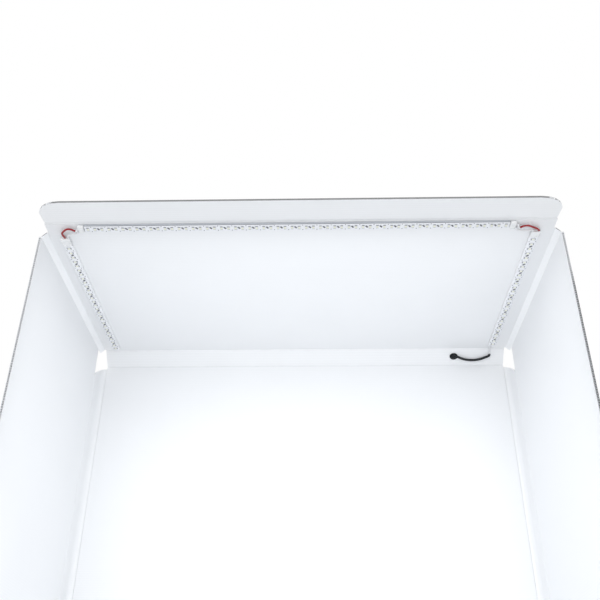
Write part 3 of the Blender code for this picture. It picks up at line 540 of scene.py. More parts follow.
def lathe(name, profile, centre, outward, sides):
    """Turn a profile of (radius, height) points about an axis through centre."""
    turn = Vector((0, 0, 1)).rotation_difference(outward).to_matrix()
    verts, faces, rings = [], [], []
    for radius, height in profile:
        if radius == 0:
            rings.append([len(verts)])
            verts.append(centre + turn @ Vector((0, 0, height)))
            continue
        start = len(verts)
        for side in range(sides):
            angle = 2 * math.pi * side / sides
            point = Vector((radius * math.cos(angle), radius * math.sin(angle), height))
            verts.append(centre + turn @ point)
        rings.append(list(range(start, start + sides)))
    for lower, upper in zip(rings, rings[1:]):
        for side in range(sides):
            after = (side + 1) % sides
            corners = [lower[side % len(lower)], lower[after % len(lower)]]
            corners += [upper[after % len(upper)], upper[side % len(upper)]]
            faces.append(tuple(dict.fromkeys(corners)))
    return mesh_from(name, verts, faces, LATHE_ANGLE)


# Shader node groups and materials

def add_node(tree, kind, values=None, **settings):
    node = tree.nodes.new(kind)
    for key, value in settings.items():
        setattr(node, key, value)
    for key, value in (values or {}).items():
        node.inputs[key].default_value = value
    return node


def new_group(name, inputs, outputs):
    """An empty shader group; inputs and outputs are (name, socket type, default) rows."""
    group = bpy.data.node_groups.new(name, "ShaderNodeTree")
    for label, kind, default in inputs:
        socket = group.interface.new_socket(name=label, in_out="INPUT", socket_type=kind)
        if default is not None:
            socket.default_value = default
    for label, kind, _ in outputs:
        group.interface.new_socket(name=label, in_out="OUTPUT", socket_type=kind)
    return group, group.nodes.new("NodeGroupInput"), group.nodes.new("NodeGroupOutput")


def join(tree, *rows):
    """Link sockets; each row is a node and its output, then a node and its input."""
    for source, output, target, entry in rows:
        tree.links.new(source.outputs[output], target.inputs[entry])


def flute_ribs():
    """Height and mask of the ribs that show through the sheet's skins."""
    group, given, result = new_group(
        "flute_ribs",
        [("Across", "NodeSocketFloat", 0.0), ("Pitch", "NodeSocketFloat", FLUTE_PITCH),
         ("Sharpness", "NodeSocketFloat", 3.0)],
        [("Rib", "NodeSocketFloat", None), ("Height", "NodeSocketFloat", None)],
    )
    turns = add_node(group, "ShaderNodeMath", operation="DIVIDE")
    angle = add_node(group, "ShaderNodeMath", {1: 2 * math.pi}, operation="MULTIPLY")
    wave = add_node(group, "ShaderNodeMath", operation="COSINE")
    lift = add_node(group, "ShaderNodeMath", {1: 0.5, 2: 0.5}, operation="MULTIPLY_ADD")
    sharp = add_node(group, "ShaderNodeMath", operation="POWER")
    join(
        group, (given, "Across", turns, 0), (given, "Pitch", turns, 1), (turns, 0, angle, 0),
        (angle, 0, wave, 0), (wave, 0, lift, 0), (lift, 0, sharp, 0), (given, "Sharpness", sharp, 1),
        (sharp, 0, result, "Rib"), (lift, 0, result, "Height"),
    )
    return group


def surface_grain():
    """Fine moulding grain as a height."""
    group, given, result = new_group(
        "surface_grain", [("Scale", "NodeSocketFloat", 900.0)], [("Height", "NodeSocketFloat", None)]
    )
    place = add_node(group, "ShaderNodeTexCoord")
    fine = add_node(group, "ShaderNodeTexNoise", {"Detail": 3.0, "Roughness": 0.6})
    join(
        group, (place, "Object", fine, "Vector"), (given, "Scale", fine, "Scale"),
        (fine, "Fac", result, "Height"),
    )
    return group


def handling_marks():
    """Mixes a base colour towards a worn colour in soft scuffs, and roughens the same places."""
    group, given, result = new_group(
        "handling_marks",
        [("Base", "NodeSocketColor", None), ("Worn", "NodeSocketColor", None),
         ("Scale", "NodeSocketFloat", 14.0), ("Amount", "NodeSocketFloat", 0.3),
         ("Smooth", "NodeSocketFloat", 0.4), ("Rough", "NodeSocketFloat", 0.5)],
        [("Color", "NodeSocketColor", None), ("Roughness", "NodeSocketFloat", None)],
    )
    place = add_node(group, "ShaderNodeTexCoord")
    cloud = add_node(group, "ShaderNodeTexNoise", {"Detail": 4.0, "Roughness": 0.55, "Distortion": 0.4})
    band = add_node(
        group, "ShaderNodeMapRange", {"From Min": 0.42, "From Max": 0.72}, interpolation_type="SMOOTHSTEP"
    )
    share = add_node(group, "ShaderNodeMath", operation="MULTIPLY")
    mix = add_node(group, "ShaderNodeMix", data_type="RGBA")
    rough = add_node(group, "ShaderNodeMapRange")
    join(
        group, (place, "Object", cloud, "Vector"), (given, "Scale", cloud, "Scale"),
        (cloud, "Fac", band, "Value"), (band, "Result", share, 0), (given, "Amount", share, 1),
        (share, 0, mix, "Factor"), (given, "Base", mix, "A"), (given, "Worn", mix, "B"),
        (band, "Result", rough, "Value"), (given, "Smooth", rough, "To Min"),
        (given, "Rough", rough, "To Max"), (mix, "Result", result, "Color"),
        (rough, "Result", result, "Roughness"),
    )
    return group


def place_group(tree, build, values):
    """Place the group that this function builds, which has the function's name, with its own values."""
    group = bpy.data.node_groups.get(build.__name__) or build()
    return add_node(tree, "ShaderNodeGroup", values, node_tree=group)


def plain_shader(name):
    material = bpy.data.materials.new(name)
    material.use_nodes = True
    tree = material.node_tree
    return material, tree, tree.nodes["Principled BSDF"]


def darker(colour, share):
    return tuple(share * channel for channel in colour)


def moulded(name, colour, worn, smooth, rough, bump, marks_scale, marks=0.3, fine_scale=1800.0):
    """A plastic, metal or rubber finish: grain, scuffs and uneven gloss over one colour."""
    material, tree, shader = plain_shader(name)
    scuffs = place_group(tree, handling_marks, {
        "Base": (*colour, 1.0), "Worn": (*worn, 1.0), "Scale": marks_scale, "Amount": marks,
        "Smooth": smooth, "Rough": rough,
    })
    grain = place_group(tree, surface_grain, {"Scale": fine_scale})
    relief = add_node(tree, "ShaderNodeBump", {"Strength": bump, "Distance": 0.1 * MM})
    join(
        tree, (scuffs, "Color", shader, "Base Color"), (scuffs, "Roughness", shader, "Roughness"),
        (grain, "Height", relief, "Height"), (relief, "Normal", shader, "Normal"),
    )
    return material


def ribbed_sheet(name, axis):
    """White twin-wall plastic whose ribs are spaced along the named axis."""
    settings = chosen("sheet")
    colour = tuple(settings.colour)
    material, tree, shader = plain_shader(name)
    place = add_node(tree, "ShaderNodeTexCoord")
    split = add_node(tree, "ShaderNodeSeparateXYZ")
    ribs = place_group(tree, flute_ribs, {"Pitch": settings.flute_pitch, "Sharpness": 5.0})
    grain = place_group(tree, surface_grain, {"Scale": 1400.0})
    scuffs = place_group(tree, handling_marks, {
        "Base": (*colour, 1.0), "Worn": (*darker(colour, WORN_SHEET_SHARE), 1.0), "Scale": 5.0,
        "Amount": 0.5, "Smooth": 0.34, "Rough": 0.46,
    })
    tint = add_node(tree, "ShaderNodeMix", {"B": (*darker(colour, RIB_TINT_SHARE), 1.0)}, data_type="RGBA")
    heights = add_node(tree, "ShaderNodeMath", {1: SHEET_GRAIN_SHARE}, operation="MULTIPLY_ADD")
    relief = add_node(tree, "ShaderNodeBump", {"Strength": 0.22, "Distance": 0.05 * MM})
    join(
        tree, (place, "Object", split, "Vector"), (split, axis, ribs, "Across"),
        (ribs, "Rib", tint, "Factor"), (scuffs, "Color", tint, "A"), (tint, "Result", shader, "Base Color"),
        (scuffs, "Roughness", shader, "Roughness"), (grain, "Height", heights, 0),
        (ribs, "Height", heights, 2), (heights, 0, relief, "Height"), (relief, "Normal", shader, "Normal"),
    )
    return material


def add_dark_line(material):
    """Paint a near-black shadow line down the outer side of the right wall's cut edge, fading out higher
    up: painted shade.
    """
    tree = material.node_tree
    shader = tree.nodes["Principled BSDF"]
    place = add_node(tree, "ShaderNodeTexCoord")
    split = add_node(tree, "ShaderNodeSeparateXYZ")
    outer = add_node(tree, "ShaderNodeMath", {1: WALL_HIGH.x - SHADOW_LINE_WIDTH}, operation="GREATER_THAN")
    lower = add_node(
        tree, "ShaderNodeMapRange", {"From Min": SHADOW_LINE_TOP, "From Max": SHADOW_LINE_TOP - SHADOW_LINE_FADE}
    )
    both = add_node(tree, "ShaderNodeMath", operation="MULTIPLY")
    mix = add_node(tree, "ShaderNodeMix", {"B": PAINTED_SHADOW_COLOUR}, data_type="RGBA")
    tree.links.new(shader.inputs["Base Color"].links[0].from_socket, mix.inputs["A"])
    join(
        tree, (place, "Object", split, "Vector"), (split, "X", outer, 0), (split, "Z", lower, "Value"),
        (outer, 0, both, 0), (lower, "Result", both, 1), (both, 0, mix, "Factor"),
        (mix, "Result", shader, "Base Color"),
    )


RIBBED_SHEETS = {"sheet_with_ribs_along_y": "Y", "sheet_with_ribs_along_z": "Z"}
SHADOW_LINED_EDGE = "cut_sheet_edge_with_dark_line"

# Each finish: its colour or the setting that gives it, the worn colour or its share of the first, then
# roughness where clean and where scuffed, bump, scale and amount of the scuffs, scale of the grain, and
# the shader's other sockets
CREASED = (0.4, 0.55, 0.25, 90.0, 0.5)
CUT = (0.6, 0.8, 0.6, 300.0, 0.6)
FOAM = (0.75, 0.95, 0.8, 900.0, 0.7, 2600.0)
FINISHES = {
    "creased_sheet": (("sheet", "colour"), 0.94, CREASED, {}),
    # Painted light: the flanges brighter than the sheet
    "crushed_sheet": (("sheet", "colour", FLANGE_LIGHT_SHARE), 0.96, CREASED, {}),
    # Painted shade: the sheet's cut faces darker than the sheet
    "cut_sheet_edge": (("sheet", "colour", CUT_EDGE_SHADE_SHARE), 0.8, CUT, {}),
    SHADOW_LINED_EDGE: (("sheet", "colour", CUT_EDGE_SHADE_SHARE), 0.8, CUT, {}),
    # Painted shade: the flap's and flanges' cut edges painted dark
    "cut_flap_edge": (("sheet", "colour", FLAP_EDGE_SHADE_SHARE), 0.8, CUT, {}),
    # Painted shade: the front tape painted grey
    "grey_foam_tape": (("strip", "tape_colour"), 0.9, FOAM, {}),
    "white_foam_tape": (("strip", "side_tape_colour"), 0.9, FOAM, {}),
    "solder_mask": (("strip", "board_colour"), 0.93, (0.22, 0.4, 0.15, 160.0, 0.5), {"Coat Weight": 0.25}),
    # Painted shade: the front board's edge painted near black
    "cut_board_edge": ((0.14, 0.15, 0.18), (0.22, 0.23, 0.26), (0.5, 0.7, 0.4, 500.0), {}),
    "led_body": ((0.82, 0.83, 0.84), (0.74, 0.75, 0.76), (0.3, 0.45, 0.1, 700.0), {}),
    "led_phosphor": (
        ("strip", "phosphor_colour"), 0.82, (0.12, 0.3, 0.1, 1100.0, 0.6), {"Coat Weight": 0.6},
    ),
    "tinned_copper": (
        (0.34, 0.35, 0.38), (0.24, 0.24, 0.27), (0.35, 0.55, 0.3, 900.0, 0.6), {"Metallic": 1.0},
    ),
    "chip_resistor": ((0.085, 0.088, 0.1), (0.13, 0.13, 0.145), (0.3, 0.5, 0.15, 900.0), {}),
    "set_glue": (
        (0.86, 0.87, 0.88), (0.80, 0.82, 0.84), (0.1, 0.3, 0.5, 260.0, 0.6, 500.0), {"Coat Weight": 0.5},
    ),
    "red_insulation": (("wiring", "red"), 1.3, (0.28, 0.42, 0.15, 380.0, 0.5), {}),
    "white_insulation": (("wiring", "white"), 0.9, (0.3, 0.45, 0.15, 380.0, 0.5), {}),
    "black_jacket": (
        ("wiring", "black"), 2.0, (0.34, 0.5, 0.3, 200.0, 0.5, 2400.0), {"Specular IOR Level": 0.3},
    ),
    "black_rubber_moulding": (
        ("wiring", "black"), 2.4, (0.5, 0.68, 0.5, 140.0, 0.6, 2800.0), {"Specular IOR Level": 0.3},
    ),
    "nickel_plate": (
        (0.72, 0.71, 0.69), (0.58, 0.57, 0.55), (0.16, 0.34, 0.1, 260.0, 0.5), {"Metallic": 1.0},
    ),
    "gold_contact": ((0.83, 0.64, 0.28), (0.7, 0.52, 0.22), (0.2, 0.35, 0.1, 500.0), {"Metallic": 1.0}),
    "studio_floor": (("studio", "floor_colour"), 0.98, (0.6, 0.75, 0.05, 2.0), {}),
}


def finish(name):
    """The material of this name, made when it is first asked for."""
    material = bpy.data.materials.get(name)
    if material is not None:
        return material
    if name in RIBBED_SHEETS:
        return ribbed_sheet(name, RIBBED_SHEETS[name])
    base, worn, numbers, sockets = FINISHES[name]
    if isinstance(base[0], str):
        group, setting, *share = base
        base = darker(getattr(chosen(group), setting), *(share or [1.0]))
    if not isinstance(worn, tuple):
        worn = darker(base, worn)
    material = moulded(name, base, worn, *numbers)
    for socket, value in sockets.items():
        material.node_tree.nodes["Principled BSDF"].inputs[socket].default_value = value
    if name == SHADOW_LINED_EDGE:
        add_dark_line(material)
    return material


# Twin-wall panels

def flute_columns(start, end, splits):
    """Positions across the flutes, and for each stretch between them whether it is an open flute."""
    settings = chosen("sheet")
    pitch, rib = settings.flute_pitch, settings.rib
    count = max(1, int((end - start - rib) / pitch))
    margin = (end - start - count * pitch - rib) / 2
    columns, is_open = [start], []
    for index in range(count):
        first = start + margin + index * pitch + rib
        for split in range(splits + 1):
            columns.append(first + (pitch - rib) * split / splits)
            is_open.append(split > 0)
    columns.append(end)
    is_open.append(False)
    return columns, is_open


def fluted_sheet(name, place, start, end, splits=1):
    """A hollow sheet between start and end across its flutes; place(across, height, side) puts a point."""
    columns, is_open = flute_columns(start, end, splits)
    skin = chosen("sheet").skin
    heights = (HALF, HALF - skin, skin - HALF, -HALF)
    verts, faces, cuts = [], [], []
    for side in (0, 1):
        for column in columns:
            verts += [place(column, height, side) for height in heights]
    count = len(columns)

    def at(side, column, level):
        return (side * count + column) * len(heights) + level

    def strip(first, second):
        return at(0, *first), at(0, *second), at(1, *second), at(1, *first)

    for column, hollow in enumerate(is_open):
        after = column + 1
        for level in (0, 3):
            faces.append(strip((column, level), (after, level)))
        for side in (0, 1):
            for level in (0, 2) if hollow else (0, 1, 2):
                cuts.append((
                    at(side, column, level), at(side, after, level),
                    at(side, after, level + 1), at(side, column, level + 1),
                ))
        if hollow:
            for level in (1, 2):
                faces.append(strip((column, level), (after, level)))
            for edge, beyond in ((column, column - 1), (after, after)):
                if not is_open[beyond]:
                    faces.append(strip((edge, 1), (edge, 2)))
    for column in (0, count - 1):
        for level in (0, 1, 2):
            cuts.append(strip((column, level), (column, level + 1)))
    mesh = mesh_from(name, verts, faces + cuts)
    mesh.polygons.foreach_set("material_index", [0] * len(faces) + [1] * len(cuts))
    return mesh


def slope_place(y, z, angle, half_width):
    """Place a sheet that leaves the line (y, z) at this angle above +Y, with flutes along X."""
    def place(along, height, side):
        return Vector((
            half_width * (2 * side - 1),
            y + along * math.cos(angle) - height * math.sin(angle),
            z + along * math.sin(angle) + height * math.cos(angle),
        ))
    return place


def build_flat_sheets():
    depth = REAR_Y - FRONT_Y - HALF
    height = BACK_TOP_Z - BACK_FOOT_Z - HALF
    rows = (
        ("ceiling", "ceiling_panel", "y", (FRONT_Y, CEILING_Z, 0, CEILING_HIGH.x), HALF, depth),
        ("floor", "floor_panel", "y", (FRONT_Y, FLOOR_Z, 0, FLOOR_HIGH.x), 0, depth),
        ("back", "back_wall", "z", (BACK_Y, BACK_FOOT_Z, math.pi / 2, BACK_HIGH.x), HALF, height),
    )
    for body, node, ribs, line, start, end in rows:
        mesh = fluted_sheet(f"{body}_sheet", slope_place(*line), start, end)
        finishes = (f"sheet_with_ribs_along_{ribs}", "cut_sheet_edge")
        add_piece(f"{body}_sheet", mesh, finishes, body, [node])


def build_wall_sheet(side_name, side, edge):
    def place(across, height, end):
        y = WALL_LOW.y if end == 0 else WALL_Y - HALF
        return Vector((side * (WALL_X + height), y, across))

    name, body = f"{side_name}_wall_sheet", f"{side_name}_wall"
    mesh = fluted_sheet(name, place, WALL_LOW.z, WALL_HIGH.z)
    finishes = ("sheet_with_ribs_along_z", edge)
    add_piece(name, mesh, finishes, body, [f"{side_name}_side_wall"])


def flap_half_width(along, length):
    """Half the flap's width at a distance from its crease: a slight flare, then round corners."""
    wide = FLAP_HIGH.x
    straight = length - FLAP_CORNER_ALONG
    if along <= straight:
        return wide - FLAP_TAPER * (1 - along / straight)
    reach = min(1.0, (along - straight) / FLAP_CORNER_ALONG)
    return wide - FLAP_CORNER_ACROSS * (1 - math.sqrt(max(0.0, 1 - reach ** 2)))


def build_flap_sheet():
    length = (FRONT_Y - FLAP_LOW.y - HALF * math.sin(FLAP_TILT)) / math.cos(FLAP_TILT)

    def place(along, height, side):
        half_width = flap_half_width(along, length)
        return Vector((
            half_width * (2 * side - 1),
            FRONT_Y - along * math.cos(FLAP_TILT) + height * math.sin(FLAP_TILT),
            CEILING_Z + along * math.sin(FLAP_TILT) + height * math.cos(FLAP_TILT),
        ))

    mesh = fluted_sheet("flap_sheet", place, HALF, length, FLAP_SPLITS)
    # The flap's cut edges carry painted shade
    finishes = ("sheet_with_ribs_along_y", "cut_flap_edge")
    add_piece("flap_sheet", mesh, finishes, "flap", ["front_flap"])


def build_flange_sheet(side_name, side):
    """A crushed strip that thins and ripples towards its tip, which just clears the wall's top corner."""
    outward = Vector((side, 0, -1)).normalized()
    upward = Vector((side, 0, 1)).normalized()
    start = Vector((side * FLANGE_X, 0, FLANGE_Z))
    corner = Vector((side * WALL_LOW.x, 0, WALL_HIGH.z))
    reach = (corner - start).length - FLANGE_WALL_GAP
    stations = [CREASE_GAP + FLANGE_SHEET / 2] + [reach * share for share in FLANGE_STATIONS]
    count = round((FLANGE_HIGH.y - FLANGE_LOW.y) / FLUTE_PITCH) * FLANGE_STEPS_PER_FLUTE
    verts = []
    for step in range(count + 1):
        y = FLANGE_LOW.y + (FLANGE_HIGH.y - FLANGE_LOW.y) * step / count
        wave = FLANGE_RIPPLE * math.cos(2 * math.pi * step / FLANGE_STEPS_PER_FLUTE)
        for sign in (1, -1):
            for travel in stations[::sign]:
                thin = min(1.0, max(0.0, (travel / reach - FLANGE_THINS_FROM) / (1 - FLANGE_THINS_FROM)))
                half = (FLANGE_SHEET + (FLANGE_TIP_SHEET - FLANGE_SHEET) * thin) / 2
                depth = sign * (half - 2 * FLANGE_RIPPLE * (1 - thin)) + wave * (1 - thin)
                verts.append(start + outward * travel + upward * depth + Vector((0, y, 0)))
    size = 2 * len(stations)
    faces = bands(count + 1, size)
    ends = end_strips((0, count * size), size)
    mesh = mesh_from(f"{side_name}_flange_sheet", verts, faces + ends, ROUND_ANGLE)
    mesh.polygons.foreach_set("material_index", [0] * len(faces) + [1] * len(ends))
    # The flange is painted brighter than the sheet (painted light), and its cut ends carry painted shade
    add_piece(
        f"{side_name}_flange_sheet", mesh, ("crushed_sheet", "cut_flap_edge"),
        f"{side_name}_flange", [f"{side_name}_ceiling_flange"],
    )


# Creases

def crease_profile(corner, into_a, out_a, into_b, out_b, reach_a, reach_b, thickness):
    """Cross-section of a pressed crease as two lists, its outer line and its inner line."""
    width = chosen("sheet").crease_width
    upper, lower = [], []
    for step in range(-CREASE_STEPS, CREASE_STEPS + 1):
        share = step / CREASE_STEPS
        travel = share * (reach_b if share > 0 else reach_a)
        bend = min(1.0, max(-1.0, travel / width))
        centre = corner + (into_b * travel if travel > 0 else into_a * -travel)
        if abs(bend) < 1:
            centre = centre + (into_a + into_b) * width * (1 - abs(bend)) ** 2 / 4
        outward = (out_a * (1 - bend) + out_b * (1 + bend)).normalized()
        pinch = CREASE_PINCH_SHARE + (1 - CREASE_PINCH_SHARE) * (1 - math.cos(math.pi * abs(bend))) / 2
        reach = (thickness / 2 - CREASE_INSET) * pinch
        upper.append(centre + outward * reach)
        lower.append(centre - outward * reach)
    return upper, lower


def crease_mesh(name, profile, ends):
    """Sweep a crease's cross-section between its two ends, given as offsets along the crease."""
    upper, lower = profile
    outline = upper + lower[::-1]
    verts = [point + offset for offset in ends for point in outline]
    faces = bands(2, len(outline)) + end_strips((0, len(outline)), len(outline))
    return mesh_from(name, verts, faces, ROUND_ANGLE)


def build_crease(name, corner, ways, ends, bodies, reach_a=HALF + CREASE_EMBED, reach_b=HALF + CREASE_EMBED,
                 thickness=SHEET):
    """A crease between sheets a and b; ways lead into and out of each. With one body the crease rides on
    it; with two it rides on neither.
    """
    corner = Vector(corner)
    into_a, out_a, into_b, out_b = (Vector(way) for way in ways)
    profile = crease_profile(corner, into_a, out_a, into_b, out_b, reach_a, reach_b, thickness)
    mesh = crease_mesh(name, profile, [Vector(end) for end in ends])
    body = bodies[0] if len(bodies) == 1 else None
    piece = add_piece(name, mesh, "creased_sheet", body)
    if body is None:
        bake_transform(piece)


def build_creases():
    sine, cosine = math.sin(SPINE_ANGLE), math.cos(SPINE_ANGLE)
    across = [(-SPINE_HIGH.x, 0, 0), (SPINE_HIGH.x, 0, 0)]
    for name, z, up in (("ceiling", CEILING_Z, 1), ("floor", FLOOR_Z, -1)):
        ways = ((0, cosine, -up * sine), (0, sine, up * cosine), (0, -1, 0), (0, 0, up))
        build_crease(
            f"{name}_rear_crease", (0, REAR_Y, z), ways, across, ("back", name),
            reach_a=SPINE_SETBACK + CREASE_EMBED,
        )
    for name, z, up in (("upper", BACK_TOP_Z, 1), ("lower", BACK_FOOT_Z, -1)):
        ways = ((0, -cosine, up * sine), (0, sine, up * cosine), (0, 0, -up), (0, 1, 0))
        build_crease(f"back_{name}_crease", (0, BACK_Y, z), ways, across, ("back",))
    root = FLAP_HIGH.x - FLAP_TAPER
    rise, run = math.sin(FLAP_TILT), math.cos(FLAP_TILT)
    ways = ((0, 1, 0), (0, 0, 1), (0, -run, rise), (0, rise, run))
    ends = [(-root, 0, 0), (root, 0, 0)]
    build_crease("flap_crease", (0, FRONT_Y, CEILING_Z), ways, ends, ("ceiling", "flap"))
    upright = [(0, 0, CORNER_LOW.z + CORNER_CUT), (0, 0, CORNER_HIGH.z - CORNER_CUT)]
    level = [(0, FLANGE_LOW.y, 0), (0, FLANGE_HIGH.y, 0)]
    bend = math.sin(FLANGE_BEND)
    for name, side in (("left", -1), ("right", 1)):
        ways = ((0, 1, 0), (side, 0, 0), (0, -1, 0), (side, 0, 0))
        corner = (side * WALL_X, WALL_Y, 0)
        build_crease(f"{name}_wall_crease", corner, ways, upright, ("back", f"{name}_wall"))
        ways = ((-side, 0, 0), (0, 0, 1), (side * bend, 0, -bend), (side * bend, 0, bend))
        build_crease(
            f"{name}_flange_crease", (side * FLANGE_X, 0, FLANGE_Z), ways, level,
            ("ceiling", f"{name}_flange"), FLANGE_SHEET, FLANGE_SHEET, FLANGE_SHEET,
        )


# LED strips

def joined(shapes):
    """Several shapes as one; a shape is its points, its faces and each face's material number."""
    points, faces, marks = [], [], []
    for more, more_faces, more_marks in shapes:
        base = len(points)
        points += more
        faces += [tuple(base + index for index in face) for face in more_faces]
        marks += more_marks
    return points, faces, marks


def repeat_mesh(name, shape, places, smooth_angle=None):
    """One mesh with a copy of the shape at each place."""
    points, faces, marks = shape
    points, faces, marks = joined([([place(point) for point in points], faces, marks) for place in places])
    mesh = mesh_from(name, points, faces, smooth_angle)
    mesh.polygons.foreach_set("material_index", marks)
    return mesh


def rounded_ring(length, width, corner, height, steps=3):
    """A closed ring of points round a rectangle with round corners."""
    ring = []
    for quarter in range(4):
        along = 1 if quarter in (0, 3) else -1
        across = 1 if quarter in (0, 1) else -1
        for step in range(steps + 1):
            turn = math.pi / 2 * (quarter + step / steps)
            ring.append(Vector((
                along * (length / 2 - corner) + corner * math.cos(turn),
                across * (width / 2 - corner) + corner * math.sin(turn),
                height,
            )))
    return ring


def stack_rings(rings, marks, close_foot=True):
    """Join rings of equal length into a skin; marks gives each band's material number, the lid's last."""
    count = len(rings[0])
    points = [point for ring in rings for point in ring]
    faces = bands(len(rings), count)
    numbers = [marks[level] for level in range(len(rings) - 1) for _ in range(count)]
    faces.append(tuple(range(len(points) - count, len(points))))
    numbers.append(marks[-1])
    if close_foot:
        faces.append(tuple(range(count)))
        numbers.append(marks[0])
    return points, faces, numbers


def led_package():
    """White body with a bevelled face, a recessed yellow window and a solder tab on either side."""
    face, lip = LED_HEIGHT, 2 * LED_BEVEL
    window = (LED_WINDOW_LENGTH, LED_WINDOW_WIDTH)
    floor = [size - LED_RECESS for size in window]
    shapes = [stack_rings([
        rounded_ring(LED_LENGTH, LED_WIDTH, LED_CORNER, 0),
        rounded_ring(LED_LENGTH, LED_WIDTH, LED_CORNER, face - LED_BEVEL),
        rounded_ring(LED_LENGTH - lip, LED_WIDTH - lip, LED_CORNER, face),
        rounded_ring(*window, LED_WINDOW_CORNER, face),
        rounded_ring(*floor, LED_WINDOW_FLOOR_CORNER, face - LED_RECESS),
    ], [0, 0, 0, 0, 1])]
    for side in (-1, 1):
        shift = Vector((0, side * (LED_WIDTH / 2 + LED_TAB / 2 - LED_BEVEL), 0))
        rings = [
            [point + shift for point in rounded_ring(LED_TAB_WIDTH, LED_TAB, LED_BEVEL, height, 1)]
            for height in (0, LED_TAB_HEIGHT)
        ]
        shapes.append(stack_rings(rings, [2, 2]))
    return joined(shapes)


def chip_resistor():
    """Dark chip with two tinned ends, turned a little as if hand soldered."""
    turn = Matrix.Rotation(CHIP_TURN, 3, "Z")
    body = CHIP_LENGTH - 2 * CHIP_END
    shapes = []
    for middle, length, width, height, number in (
        (0, body, CHIP_WIDTH - CHIP_EDGE, CHIP_HEIGHT, 0),
        (-(body + CHIP_END) / 2, CHIP_END, CHIP_WIDTH, CHIP_HEIGHT + CHIP_EDGE, 1),
        ((body + CHIP_END) / 2, CHIP_END, CHIP_WIDTH, CHIP_HEIGHT + CHIP_EDGE, 1),
    ):
        points, faces, marks = stack_rings([
            rounded_ring(length, width, CHIP_EDGE, 0, 1),
            rounded_ring(length, width, CHIP_EDGE, height - CHIP_EDGE, 1),
            rounded_ring(length - 2 * CHIP_EDGE, width - 2 * CHIP_EDGE, CHIP_EDGE, height, 1),
        ], [number, number, number])
        points = [turn @ Vector((point.y, point.x + middle, point.z)) for point in points]
        shapes.append((points, faces, marks))
    return joined(shapes)


def solder_pad():
    rings = []
    turns = [2 * math.pi * corner / PAD_SIDES for corner in range(PAD_SIDES)]
    for radius, height in ((PAD_RADIUS, 0), (PAD_RADIUS, PAD_HEIGHT / 2), (PAD_TOP_RADIUS, PAD_HEIGHT)):
        rings.append([Vector((radius * math.cos(turn), radius * math.sin(turn), height)) for turn in turns])
    return stack_rings(rings, [0, 0, 0])


def build_strip(side, count, lengthwise, edge):
    """Board, LED packages, chip resistors and solder pads of one strip; lengthwise is its direction."""
    node = f"{side}_led_strip"
    low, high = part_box(node)
    tape_low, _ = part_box(f"{side}_strip_tape")
    board_face = high.z - BOARD_THICKNESS
    crosswise = Vector((lengthwise.y, -lengthwise.x, 0))
    length = abs((high - low).dot(lengthwise))
    width = abs((high - low).dot(crosswise))
    middle = (low + high) / 2
    start = Vector((middle.x, middle.y, 0)) - lengthwise * length / 2
    pitch = length / count

    def placed(along, across=0.0):
        def transform(point):
            flat = start + lengthwise * (along + point.x) + crosswise * (across + point.y)
            return Vector((flat.x, flat.y, board_face - point.z))
        return transform

    board = stack_rings([
        rounded_ring(length, width, BOARD_EDGE, board_face - tape_low.z, 1),
        rounded_ring(length, width, BOARD_EDGE, -BOARD_EDGE, 1),
        rounded_ring(length - 2 * BOARD_EDGE, width - 2 * BOARD_EDGE, BOARD_EDGE, 0, 1),
    ], [1, 0, 0], close_foot=False)
    cells = [(index + 0.5) * pitch for index in range(count)]
    joints = [index * pitch for index in range(CHIP_EVERY, count, CHIP_EVERY)]
    cuts = [index * pitch for index in range(1, count, CHIP_EVERY)]
    rim = width * PAD_ACROSS_SHARE
    pad_places = [placed(along, across) for along in cuts for across in (-rim, rim)]
    parts = (
        ("board", board, [placed(length / 2)], None, ("solder_mask", edge), [node]),
        ("leds", led_package(), [placed(along) for along in cells], LED_ANGLE,
         ("led_body", "led_phosphor", "tinned_copper"), ()),
        ("resistors", chip_resistor(), [placed(along, CHIP_SHIFT) for along in joints], None,
         ("chip_resistor", "tinned_copper"), ()),
        ("pads", solder_pad(), pad_places, PAD_ANGLE, "tinned_copper", ()),
    )
    for part, shape, places, angle, finishes, replaced in parts:
        name = f"{side}_strip_{part}"
        mesh = repeat_mesh(name, shape, places, angle)
        add_piece(name, mesh, finishes, "ceiling", replaced)


# Glue caps, sleeves and wires

def build_cap(node):
    """A lump of set glue that fills its cap's place, flat where it meets the ceiling."""
    low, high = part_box(node)
    centre, reach = (low + high) / 2, (high - low) / 2
    shape = bmesh.new()
    bmesh.ops.create_icosphere(shape, subdivisions=CAP_SUBDIVISIONS, radius=1.0)
    for vert in shape.verts:
        way = vert.co.normalized()
        block = Vector([math.copysign(abs(part) ** CAP_SQUARENESS_SHARE, part) for part in way])
        place = Vector([centre[k] + reach[k] * block[k] for k in range(3)])
        wobble = noise.noise(place * CAP_NOISE_SCALE) - CAP_NOISE_LEVEL
        place += way * CAP_WOBBLE * min(0.0, wobble) * 2
        vert.co = Vector([min(max(place[k], low[k]), high[k]) for k in range(3)])
    mesh = mesh_of(f"{node}_glue", shape)
    mesh.shade_smooth()
    add_piece(f"{node}_glue", mesh, "set_glue", "ceiling", [node])


def build_sleeve(node, route):
    """A short sleeve that leads the red wire from the front strip's cap."""
    curve = wire_curve(f"{node}_tube", smooth_route(route, WIRE_SPACING / 2), SLEEVE_DIAMETER)
    add_piece(f"{node}_tube", curve, "white_insulation", "ceiling", [node])


def relaxed(points, rounds):
    """Ease a route's corners: each inner point moves towards its neighbours."""
    for _ in range(rounds):
        threes = zip(points, points[1:], points[2:])
        inner = [(before + 2 * here + after) / 4 for before, here, after in threes]
        points = [points[0]] + inner + [points[-1]]
    return points


